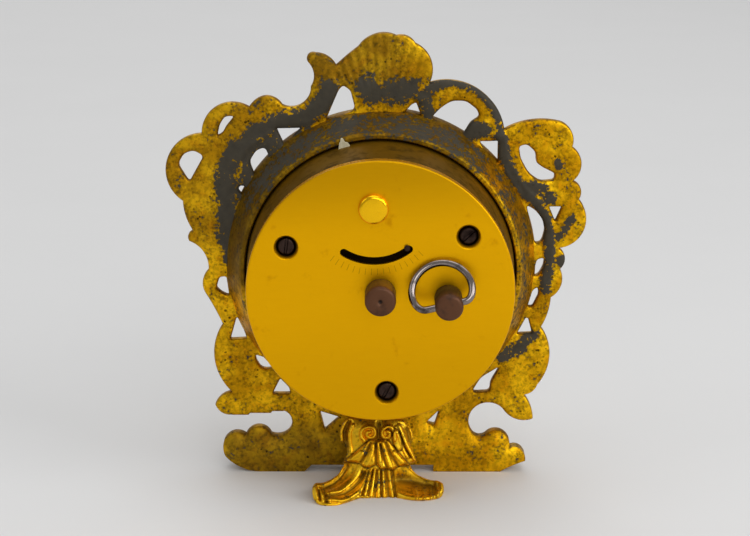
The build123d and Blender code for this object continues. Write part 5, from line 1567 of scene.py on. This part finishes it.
@dataclass
class Drum:
    """Brass drum of the movement and the sliver that packs it in the collar."""

    radius: float = 31.2
    inner: float = 30.6
    rear: float = 28.0
    flange_radius: float = 35.0
    flange_front: float = -2.8
    flange_rear: float = -2.2
    lip: float = 29.3
    flare: float = 32.9
    wedge_angle: float = 105.5
    wedge_front: float = 11.05
    wedge_rear: float = 12.1
    wedge_corners: tuple[Point, ...] = (
        (2.7, 32.4), (2.1, 32.9), (1.6, 33.7), (0.9, 34.0), (0.4, 34.8), (-0.3, 34.7), (-0.8, 33.6),
        (-1.9, 33.3), (-2.6, 32.4))

    def build(self, drawing: Drawing, finishes: Finishes) -> None:
        """Makes the drum and the sliver.

        Args:
            drawing: Frame that they are drawn in.
            finishes: Finishes of the clock.
        """
        profile = [(self.lip, self.flange_front), (self.flange_radius, self.flange_front),
                   (self.flange_radius, self.flange_rear), (self.flare, self.flange_rear), (self.flare, 6.0),
                   (self.flare - 0.2, 10.0), (self.flare - 0.6, 14.0), (self.radius + 0.4, 18.0),
                   (self.radius, 22.0), (self.radius, self.rear), (self.inner, self.rear),
                   (self.inner, self.flange_rear), (self.lip, self.flange_rear)]
        shape = Shape().turned(profile, 240)
        # Painted light and shade: the drum darkens from deep in the collar towards the cover, so the part
        # that the collar shades stays lighter.
        shape.tags["dirt"] = np.interp(shape.points[:, 2], [10.0, 16.0, 26.0], [0.1, 0.25, 0.45])
        place_piece("drum_shell", shape, drawing, finishes.drum_brass, ["drum_case"])
        corners = [polar(radius, self.wedge_angle + turn) for turn, radius in self.wedge_corners]
        sliver = Shape().prism(blunted(corners[::-1], 0.2, 0.2), self.wedge_front, self.wedge_rear)
        place_piece("packing_sliver", sliver, drawing, finishes.packing, ["packing_wedge"])


@dataclass
class BackCover:
    """Brass cover with its coin edge, screws and the dome over the balance."""

    radius: float = 31.75
    face: float = 29.0
    thickness: float = 1.0
    skirt_front: float = 25.6
    skirt_inner: float = 31.25
    skirt_outer: float = 31.6
    coin_count: int = 240
    coin_radii: tuple[float, ...] = (0.06, 0.2, 0.2, 0.06)
    dimple_radius: float = 2.6
    dimple_depth: float = 1.6
    dimple_rings: tuple[float, ...] = (-1.2, -0.7, -0.45, -0.3, -0.15, 0.0, 0.15, 0.3, 0.5, 0.8)
    screw_circle: float = 24.7
    screw_angles: tuple[float, ...] = (30.0, 150.0, 270.0)
    screw_slots: tuple[float, ...] = (43.0, 83.0, 62.0)
    screw_radius: float = 2.0
    screw_head: float = 0.8
    screw_cut: float = 0.45
    balance: tuple[float, float] = polar(20.998, 91.0)
    cap_drop: float = 0.55
    cap_radius: float = 3.55
    cap_rise: float = 1.7
    cap_round: float = 1.0
    mark_count: int = 17
    mark_start: float = -131.0
    mark_sweep: float = 82.0
    mark_offset: float = 2.5
    mark_corners: tuple[Point, ...] = ((-0.8, -0.05), (0.8, -0.07), (0.8, 0.07), (-0.8, 0.05))
    slot_shift: tuple[float, float] = (0.15, 0.15)
    slot_radius: float = 13.3
    slot_width: float = 1.85
    slot_middle: float = -90.5
    slot_half: float = 35.1
    winding_hole: float = 1.5
    hand_hole: float = 1.1

    def build(self, drawing: Drawing, ring: RingTool, finishes: Finishes) -> None:
        """Makes the cover and what is fixed on it.

        Args:
            drawing: Frame that they are drawn in.
            ring: Tool for what repeats round a circle.
            finishes: Finishes of the clock.
        """
        self._plate(drawing, finishes)
        self._edge(drawing, ring, finishes)
        self._screws(drawing, finishes)
        self._dome(drawing, finishes)
        self._marks(drawing, ring, finishes)

    def _plate(self, drawing: Drawing, finishes: Finishes) -> None:
        """Makes the face with its dimples and slot, and the skirt."""
        angles = np.linspace(self.slot_middle - self.slot_half, self.slot_middle + self.slot_half, 40)
        half = self.slot_width / 2
        about = tuple(np.add(self.balance, self.slot_shift))
        outer = [polar(self.slot_radius + half, a, about) for a in angles]
        inner = [polar(self.slot_radius - half, a, about) for a in angles[::-1]]
        ends = [[polar(half, angles[i] + k, polar(self.slot_radius, angles[i], about)) for k in sweep]
                for i, sweep in ((-1, np.linspace(0, 180, 9)[1:-1]), (0, np.linspace(180, 360, 9)[1:-1]))]
        slot = np.array([*outer, *ends[0], *inner, *ends[1]])
        barrel_low, barrel_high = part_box("winding_key")
        winding = drawing.matrix.inverted() @ ((barrel_low + barrel_high) / 2)
        holes = [slot, circle(self.winding_hole, 32, (winding.x, winding.y)), circle(self.hand_hole, 28)]
        cups = [polar(self.screw_circle, angle) for angle in self.screw_angles]
        sizes = self.dimple_radius + np.array(self.dimple_rings)
        guides = [circle(size, 64, cup) for cup in cups for size in sizes]
        relief = Relief(circle(self.radius, 420), holes, 0.55, (0.06, 0.16, 0.3, 0.45), guides)
        dimples = np.zeros(len(relief.plan))
        # Painted shade: the plate darker towards its top and a little towards its bottom, as the light falls
        # off.
        dirt = 0.3 * ease(relief.plan[:, 1], 12.0, 31.0) + 0.1 * ease(-relief.plan[:, 1], 2.0, 24.0)
        for cup in cups:
            gap = np.linalg.norm(relief.plan - cup, axis=1)
            slope = ease(gap, self.dimple_radius - 0.7, self.dimple_radius + 0.45)
            dimples += self.dimple_depth * (1 - slope)
            # Painted shade inside each dimple.
            dirt = np.maximum(dirt, 1 - ease(gap, self.dimple_radius - 0.3, self.dimple_radius + 0.25))
        edge = 0.4 * (1 - pillow(relief.inset, 0.4)) * (np.linalg.norm(relief.plan, axis=1) > self.radius - 1)
        points, faces = relief.shell(self.face - dimples - edge, self.face - self.thickness - dimples)
        shape = Shape().add(points, faces, dirt=np.concatenate([dirt, dirt]))
        top = self.face - 0.42
        shape.turned([(self.skirt_inner, self.skirt_front), (self.skirt_outer, self.skirt_front),
                      (self.skirt_outer, top), (self.skirt_inner, top)], 420)
        place_piece("cover_plate", shape, drawing, finishes.cover_brass, ["back_cover"])

    def _edge(self, drawing: Drawing, ring: RingTool, finishes: Finishes) -> None:
        """Makes the ridges of the coin edge."""
        ridge = Shape()
        count = len(self.coin_radii)
        length = np.linspace(self.skirt_front + 0.1, self.face - 0.5, count)
        path = np.column_stack([np.zeros(count), np.zeros(count), length])
        ridge.tube(path, self.coin_radii, 6)
        mesh = ring.copies(ridge, self.coin_count, self.skirt_outer - 0.02, finishes.cover_brass)
        place_piece("coin_edge", mesh, drawing, finishes.cover_brass, [], 60.0, "back_cover")

    def _screws(self, drawing: Drawing, finishes: Finishes) -> None:
        """Makes the three slotted screws in the dimples."""
        low = self.face - self.dimple_depth
        head = Relief(circle(self.screw_radius, 72), [], 0.16, (0.05, 0.12, 0.22))
        crown = low + self.screw_head - 0.35 * (1 - pillow(head.inset, 0.7))
        shape = Shape()
        for angle, slot in zip(self.screw_angles, self.screw_slots):
            across = head.plan @ np.array(polar(1.0, slot + 90 - drawing.turn))
            cut = self.screw_cut * (1 - ease(np.abs(across), 0.24, 0.34))
            points, faces = head.shell(crown - cut, np.full(len(crown), low))
            shape.add(points + np.array((*polar(self.screw_circle, angle), 0.0)), faces)
        place_piece("cover_screw_heads", shape, drawing, finishes.dark_steel, ["cover_screws"],
                    40.0)

    def _dome(self, drawing: Drawing, finishes: Finishes) -> None:
        """Makes the low cap over the balance, flat with a round edge."""
        turns = np.linspace(math.pi / 2, 0, 10)
        flat = self.cap_radius - self.cap_round
        low = self.face + self.cap_rise - self.cap_round
        edge = [(flat + self.cap_round * math.cos(a), low + self.cap_round * math.sin(a) - 0.1)
                for a in turns]
        top = [(0.0, self.face + self.cap_rise), (flat / 2, self.face + self.cap_rise - 0.02)]
        profile = top + edge + [(self.cap_radius, self.face - 0.1), (0.0, self.face - 0.1)]
        shape = Shape().turned(profile, 72, (self.balance[0], self.balance[1] - self.cap_drop))
        place_piece("balance_dome", shape, drawing, finishes.cap_brass, ["balance_cap"],
                    50.0)

    def _marks(self, drawing: Drawing, ring: RingTool, finishes: Finishes) -> None:
        """Makes the fine marks that fan out under the slot."""
        mark = Shape().prism(np.array(self.mark_corners), -0.05, 0.012)
        mesh = ring.copies(mark, self.mark_count, self.slot_radius + self.mark_offset, finishes.mark_brass,
                           self.mark_start, (*self.balance, self.face), self.mark_sweep)
        place_piece("rate_marks", mesh, drawing, finishes.mark_brass, [], 20.0, "back_cover")


@dataclass
class WindingWork:
    """Setting knob, winding stem and the wire ring through the stem."""

    knob_base: float = 29.4
    knob_radius: float = 3.65
    knob_length: float = 7.4
    key_radius: float = 3.3
    key_length: float = 8.8
    ring_drop: float = 2.9
    wire_radius: float = 0.88
    ring_reach: float = 10.5
    ring_left: float = 8.0
    ring_right: float = 6.2
    ring_side: float = 3.7
    bar_left: float = 5.2
    bar_right: float = 3.8
    ring_turn: float = 13.5
    cover_face: float = 29.0

    def build(self, drawing: Drawing, wire: WireTool, finishes: Finishes) -> None:
        """Makes the knob, the stem and the ring.

        Args:
            drawing: Frame that they are drawn in.
            wire: Tool for what follows a path.
            finishes: Finishes of the clock.
        """
        base, radius = self.knob_base, self.knob_radius
        end = base + self.knob_length
        knob = [(0.0, base), (radius - 0.3, base), (radius, base + 0.3), (radius, end - 2.0),
                (radius, end - 0.75), (radius - 0.22, end - 0.24), (radius - 0.75, end), (1.6, end),
                (0.62, end - 0.05), (0.42, end - 0.3), (0.2, end - 0.45), (0.0, end - 0.48)]
        shape = Shape().turned(knob, 72)
        # Painted shadow round the knob's root by the cover, and painted shade in the small dimple at the
        # middle of its end.
        across = np.hypot(shape.points[:, 0], shape.points[:, 1])
        shadow = np.interp(shape.points[:, 2], [30.0, 34.5], [0.7, 0.1])
        shape.tags["dirt"] = np.maximum(shadow, 1 - ease(across, 0.3, 0.6))
        place_piece("setting_knob_body", shape, drawing, finishes.brown, ["setting_knob"],
                    50.0)
        low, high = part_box("winding_key")
        at = drawing.matrix.inverted() @ ((low + high) / 2)
        radius, top = self.key_radius, base + self.key_length
        stem = [(0.0, base), (radius - 0.3, base), (radius, base + 0.3), (radius, top - 4.0),
                (radius, top - 1.0), (radius - 0.15, top - 0.5), (radius - 0.5, top - 0.15),
                (radius - 1.0, top), (0.6, top), (0.0, top)]
        shape = Shape().turned(stem, 72, (at.x, at.y))
        # Painted shade on the stem's root by the cover, fading towards its end.
        shape.tags["dirt"] = np.interp(shape.points[:, 2], [top - 3.0, top - 0.4], [0.95, 0.1])
        place_piece("winding_stem", shape, drawing, finishes.brown, ["winding_key"], 50.0)
        self._ring(drawing, wire, finishes, (at.x, at.y))

    def _ring(self, drawing: Drawing, wire: WireTool, finishes: Finishes, at: Point) -> None:
        """Makes the wire ring, leaning on the cover."""
        hinge = self.knob_base + self.key_length - self.ring_drop
        lean = math.asin((hinge - self.cover_face - self.wire_radius - 0.05) / self.ring_reach)
        crown = ((self.ring_right - self.ring_left) / 2, self.ring_reach)
        knots = np.array([(self.bar_right, 0.0), (self.ring_right, self.ring_side), crown,
                          (-self.ring_left, self.ring_side), (-self.bar_left, 0.0)])
        ways = np.array([(1.0, 0.0), (0.0, 1.0), (-1.0, 0.0), (0.0, -1.0), (1.0, 0.0)])
        flat = [(x, 0.0) for x in np.linspace(-self.bar_left, self.bar_right, 9)[:-1]]
        for i in range(4):
            chord = 1.15 * math.dist(knots[i], knots[i + 1])
            for s in np.arange(12) / 12:
                blend = (2 * s ** 3 - 3 * s ** 2 + 1, chord * (s ** 3 - 2 * s ** 2 + s),
                         3 * s ** 2 - 2 * s ** 3, chord * (s ** 3 - s ** 2))
                flat.append(tuple(blend @ np.array((knots[i], ways[i], knots[i + 1], ways[i + 1]))))
        loop = np.column_stack([np.array(flat), np.zeros(len(flat))])
        turn = Matrix.Rotation(math.radians(self.ring_turn - drawing.turn), 4, "Z")
        place = Matrix.Translation((at[0], at[1], hinge)) @ turn @ Matrix.Rotation(-lean, 4, "X")
        path = np.array([tuple(place @ Vector(p)) for p in loop])
        place_piece("stem_ring", wire.wire(path, self.wire_radius, finishes.nickel), drawing, finishes.nickel,
                    ["key_ring"], 80.0)


@dataclass
class DialSide:
    """Front of the clock: bezel with its beads, glass, dial and hands."""

    bezel_radius: float = 36.5
    bezel_front: float = -8.6
    flange_front: float = -2.8
    seat: float = 31.9
    lip: float = 29.9
    crystal_front: float = -7.6
    crystal_rear: float = -6.4
    bead_count: int = 96
    bead_circle: float = 34.2
    bead_radius: float = 0.95
    bead_rise: float = 1.6
    dial_front: float = -2.2
    dial_rear: float = -1.6
    dial_radius: float = 30.55
    dial_hole: float = 2.3
    numeral_circle: float = 22.6
    numeral_size: float = 6.2
    numeral_rise: float = 0.03
    track_circle: float = 27.6
    tracks: tuple[tuple[int, float, float], ...] = ((60, 0.7, 0.11), (12, 1.1, 0.3))
    hands: tuple[tuple[str, float, float, float], ...] = (
        ("hour_hand", 15.0, -3.8, 1.75), ("minute_hand", 22.0, -5.0, 1.2))
    hand_hub: float = 2.6
    hand_ring: float = 1.5
    hand_eye: float = 0.95

    def build(self, drawing: Drawing, movement: Drawing, ring: RingTool, finishes: Finishes) -> None:
        """Makes the pieces of the front.

        Args:
            drawing: Frame of the case.
            movement: Frame of the movement.
            ring: Tool for what repeats round a circle.
            finishes: Finishes of the clock.
        """
        self._bezel(drawing, ring, finishes)
        self._glass(drawing, finishes)
        self._dial(movement, ring, finishes)
        self._hands(movement, finishes)

    def _bezel(self, drawing: Drawing, ring: RingTool, finishes: Finishes) -> None:
        """Makes the bezel and its row of beads."""
        front, radius, bead = self.bezel_front, self.bezel_radius, self.bead_circle
        nose = [(radius, self.flange_front), (radius, front + 3.4), (radius - 0.2, front + 2.6),
                (radius - 0.7, front + 2.0), (radius - 1.3, front + 1.7), (bead + 1.0, front + 1.7),
                (bead - 1.0, front + 1.7), (bead - 1.2, front + 1.2), (bead - 1.5, front + 0.4),
                (bead - 2.1, front), (31.4, front + 0.2), (30.4, front + 0.55),
                (self.lip, front + 0.85), (self.lip, self.crystal_front),
                (self.seat, self.crystal_front), (self.seat, self.flange_front)]
        shape = Shape().turned(nose, 240)
        place_piece("bezel_ring", shape, drawing, finishes.bright_gilt, ["bezel"], 40.0)
        turns = np.linspace(0, math.pi, 8)
        ball = [(self.bead_radius * math.sin(a), -self.bead_radius * math.cos(a)) for a in turns]
        ball[0], ball[-1] = (0.0, -self.bead_radius), (0.0, self.bead_radius)
        mesh = ring.copies(Shape().turned(ball, 12), self.bead_count, bead, finishes.bright_gilt, 0.0,
                           (0.0, 0.0, front + self.bead_rise))
        place_piece("bezel_beads", mesh, drawing, finishes.bright_gilt, [], 80.0, "bezel")

    def _glass(self, drawing: Drawing, finishes: Finishes) -> None:
        """Makes the dial glass."""
        front, rear, radius = self.crystal_front, self.crystal_rear, self.seat - 0.05
        profile = [(0.0, rear), (radius - 0.1, rear), (radius, rear - 0.1), (radius, front + 0.1),
                   (radius - 0.1, front), (0.0, front)]
        shape = Shape().turned(profile, 160)
        place_piece("dial_glass", shape, drawing, finishes.glass, ["crystal"])

    def _dial(self, drawing: Drawing, ring: RingTool, finishes: Finishes) -> None:
        """Makes the dial, its minute track and its numerals."""
        profile = [(self.dial_radius, self.dial_rear), (self.dial_radius, self.dial_front + 0.15),
                   (self.dial_radius - 0.15, self.dial_front), (20.0, self.dial_front - 0.05),
                   (12.0, self.dial_front - 0.12), (self.dial_hole + 0.2, self.dial_front - 0.15),
                   (self.dial_hole, self.dial_front), (self.dial_hole, self.dial_rear)]
        shape = Shape().turned(profile, 200)
        place_piece("dial_face", shape, drawing, finishes.enamel, ["dial"])
        for count, long, wide in self.tracks:
            corners = np.array([(-long, -wide), (long, -wide), (long, wide), (-long, wide)])
            mesh = ring.copies(Shape().prism(corners, -0.06, 0.02), count, self.track_circle,
                               finishes.numerals, 90.0, (0.0, 0.0, self.dial_front))
            place_piece(f"minute_marks_{count}", mesh, drawing, finishes.numerals, [], 20.0,
                        "dial")
        for hour in range(1, 13):
            words = bpy.data.curves.new(f"numeral_{hour}", "FONT")
            words.body, words.size, words.extrude = str(hour), self.numeral_size, self.numeral_rise
            words.align_x, words.align_y = "CENTER", "CENTER"
            mesh = evaluated(linked(f"numeral_{hour}_text", words))
            x, y = polar(self.numeral_circle, 90 + 30 * hour)
            place = Matrix.Translation((x, y, self.dial_front - 0.06)) @ Matrix.Rotation(math.pi, 4, "Y")
            mesh.transform(place)
            place_piece(f"numeral_{hour}", mesh, drawing, finishes.numerals, [], 20.0, "dial")

    def _hands(self, drawing: Drawing, finishes: Finishes) -> None:
        """Makes the hour and minute hands."""
        ring = self.hand_ring
        for node, length, front, bore in self.hands:
            eye = 0.66 * length
            half = [(0.75, 2.45), (0.5, 0.35 * length), (0.42, eye - ring), (ring * 0.85, eye - ring * 0.55),
                    (ring, eye), (ring * 0.8, eye + ring * 0.65), (0.5, eye + ring * 1.05),
                    (0.3, eye + ring * 1.6), (0.12, length)]
            right = spline(half, 5)
            hub = np.array([polar(self.hand_hub, a) for a in np.linspace(107, 433, 60)])
            left = np.column_stack([-right[::-1, 0], right[::-1, 1]])
            outline = np.vstack([hub, right, left])
            holes = [circle(bore, 32), circle(self.hand_eye, 28, (0.0, eye))]
            relief = Relief(outline, holes, 0.28, (0.06, 0.14))
            crown = 0.12 * pillow(relief.inset, 0.3)
            points, faces = relief.shell(np.full(len(crown), front + 0.4), front + 0.12 - crown)
            shape = Shape().add(points, faces)
            place_piece(f"{node}_blade", shape, drawing, finishes.hand, [node], 35.0)


@dataclass
class Movement:
    """Works inside the drum: CAD nodes that only need their finish."""

    steel: tuple[str, ...] = (
        "centre_arbor", "third_arbor", "fourth_arbor", "escape_arbor", "pallet_arbor", "pallet_pins",
        "pallet_lever", "balance_staff", "impulse_roller", "barrel_arbor", "ratchet_wheel", "click",
        "click_screw", "minute_stud", "centre_pinion", "minute_pinion", "cannon_pinion", "pillar_nuts",
        "foot_screws")
    spring: tuple[str, ...] = ("mainspring", "hairspring", "click_spring", "friction_washer")

    def build(self, finishes: Finishes) -> None:
        """Gives each node that still shows its finish.

        Args:
            finishes: Finishes of the clock.
        """
        chosen = {"rear_plate": finishes.plate_brass, "regulator_index": finishes.dark_steel,
                  "crystal_ring": finishes.bright_gilt}
        chosen.update({name: finishes.steel for name in self.steel})
        chosen.update({name: finishes.spring for name in self.spring})
        for name, node in frame["nodes"].items():
            if not node.hide_render:
                node.data.materials.clear()
                node.data.materials.append(chosen.get(name, finishes.works_brass))


@dataclass
class Studio:
    """Pale floor, soft lights and the camera."""

    plate_pixel: tuple[float, float] = (380.6, 293.0)
    plate_radius_pixels: float = 135.0
    plate_radius: float = 31.75
    plate_depth: float = 29.0
    elevation: float = 16.0
    distance: float = 480.0
    frame_size: tuple[float, float] = (750.0, 536.0)
    sensor: float = 36.0
    floor_reach: float = 8.0
    aim: Point = (0.0, 0.0, 0.05)
    lights: tuple[tuple[str, Point, float, float], ...] = (
        ("top", (-0.1, -0.05, 1.9), 1.6, 11.5), ("left", (1.1, 0.5, 0.9), 0.7, 1.4),
        ("right", (-1.0, 0.6, 0.6), 0.7, 5.2), ("near", (-0.3, 1.1, 0.7), 0.7, 4.0),
        ("front", (0.2, -1.2, 0.9), 0.9, 2.5))
    sky: tuple[float, ...] = tone(232, 232, 232)
    sky_strength: float = 0.45

    def build(self, drawing: Drawing, finishes: Finishes) -> None:
        """Makes the stage.

        Args:
            drawing: Frame of the case.
            finishes: Finishes of the clock.
        """
        self._camera(drawing)
        self._floor(finishes)
        self._lights()
        bpy.context.scene.view_settings.view_transform = "Standard"

    def _camera(self, drawing: Drawing) -> None:
        """Sets the camera so that the back plate falls where the photograph has it."""
        focal = self.distance * self.plate_radius_pixels / self.plate_radius
        tilt = math.atan((self.plate_pixel[1] - self.frame_size[1] / 2) / focal)
        yaw = math.atan((self.plate_pixel[0] - self.frame_size[0] / 2) / focal)
        rise = math.radians(self.elevation)
        way = Vector((math.sin(yaw) * math.cos(rise - tilt), -math.cos(yaw) * math.cos(rise - tilt),
                      -math.sin(rise - tilt)))
        plate = drawing.matrix @ Vector((0.0, 0.0, self.plate_depth))
        data = bpy.data.cameras.new("camera")
        data.sensor_width = self.sensor
        data.lens = self.sensor * focal / self.frame_size[0]
        data.clip_start = 0.01
        camera = linked("camera", data)
        camera.location = plate + self.distance * MM * Vector((0.0, math.cos(rise), math.sin(rise)))
        camera.rotation_euler = way.to_track_quat("-Z", "Y").to_euler()
        bpy.context.scene.camera = camera

    def _floor(self, finishes: Finishes) -> None:
        """Makes the floor."""
        reach = self.floor_reach
        corners = [(x * reach, y * reach, 0.0) for x, y in ((-1, -1), (1, -1), (1, 1), (-1, 1))]
        mesh = bpy.data.meshes.new("floor")
        mesh.from_pydata(corners, [], [(0, 1, 2, 3)])
        mesh.materials.append(finishes.floor)
        floor = linked("floor", mesh)

    def _lights(self) -> None:
        """Makes the soft lights and the pale surroundings."""
        for name, place, size, power in self.lights:
            data = bpy.data.lights.new(name, "AREA")
            data.size, data.energy = size, power
            light = linked(name, data)
            light.location = place
            way = Vector(self.aim) - Vector(place)
            light.rotation_euler = way.to_track_quat("-Z", "Y").to_euler()
        world = bpy.data.worlds.new("studio")
        world.use_nodes = True
        background = world.node_tree.nodes["Background"]
        background.inputs[0].default_value = self.sky
        background.inputs[1].default_value = self.sky_strength
        bpy.context.scene.world = world


def main() -> None:
    """Builds the clock's looks, one sub-assembly after another."""
    logging.basicConfig(level=logging.INFO, format="%(message)s")
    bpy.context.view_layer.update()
    cover = BackCover()
    case = Drawing.of_case(cover.face)
    movement = Drawing.of_case(cover.face, MOVEMENT_TURN)
    finishes = Finishes()
    ring = RingTool()
    FrameCasting().build(case, finishes)
    RearFoot().build(case, finishes)
    Drum().build(case, finishes)
    cover.build(movement, ring, finishes)
    WindingWork().build(movement, WireTool(), finishes)
    DialSide().build(case, movement, ring, finishes)
    Movement().build(finishes)
    Studio().build(case, finishes)


if __name__ == "__main__":
    main()
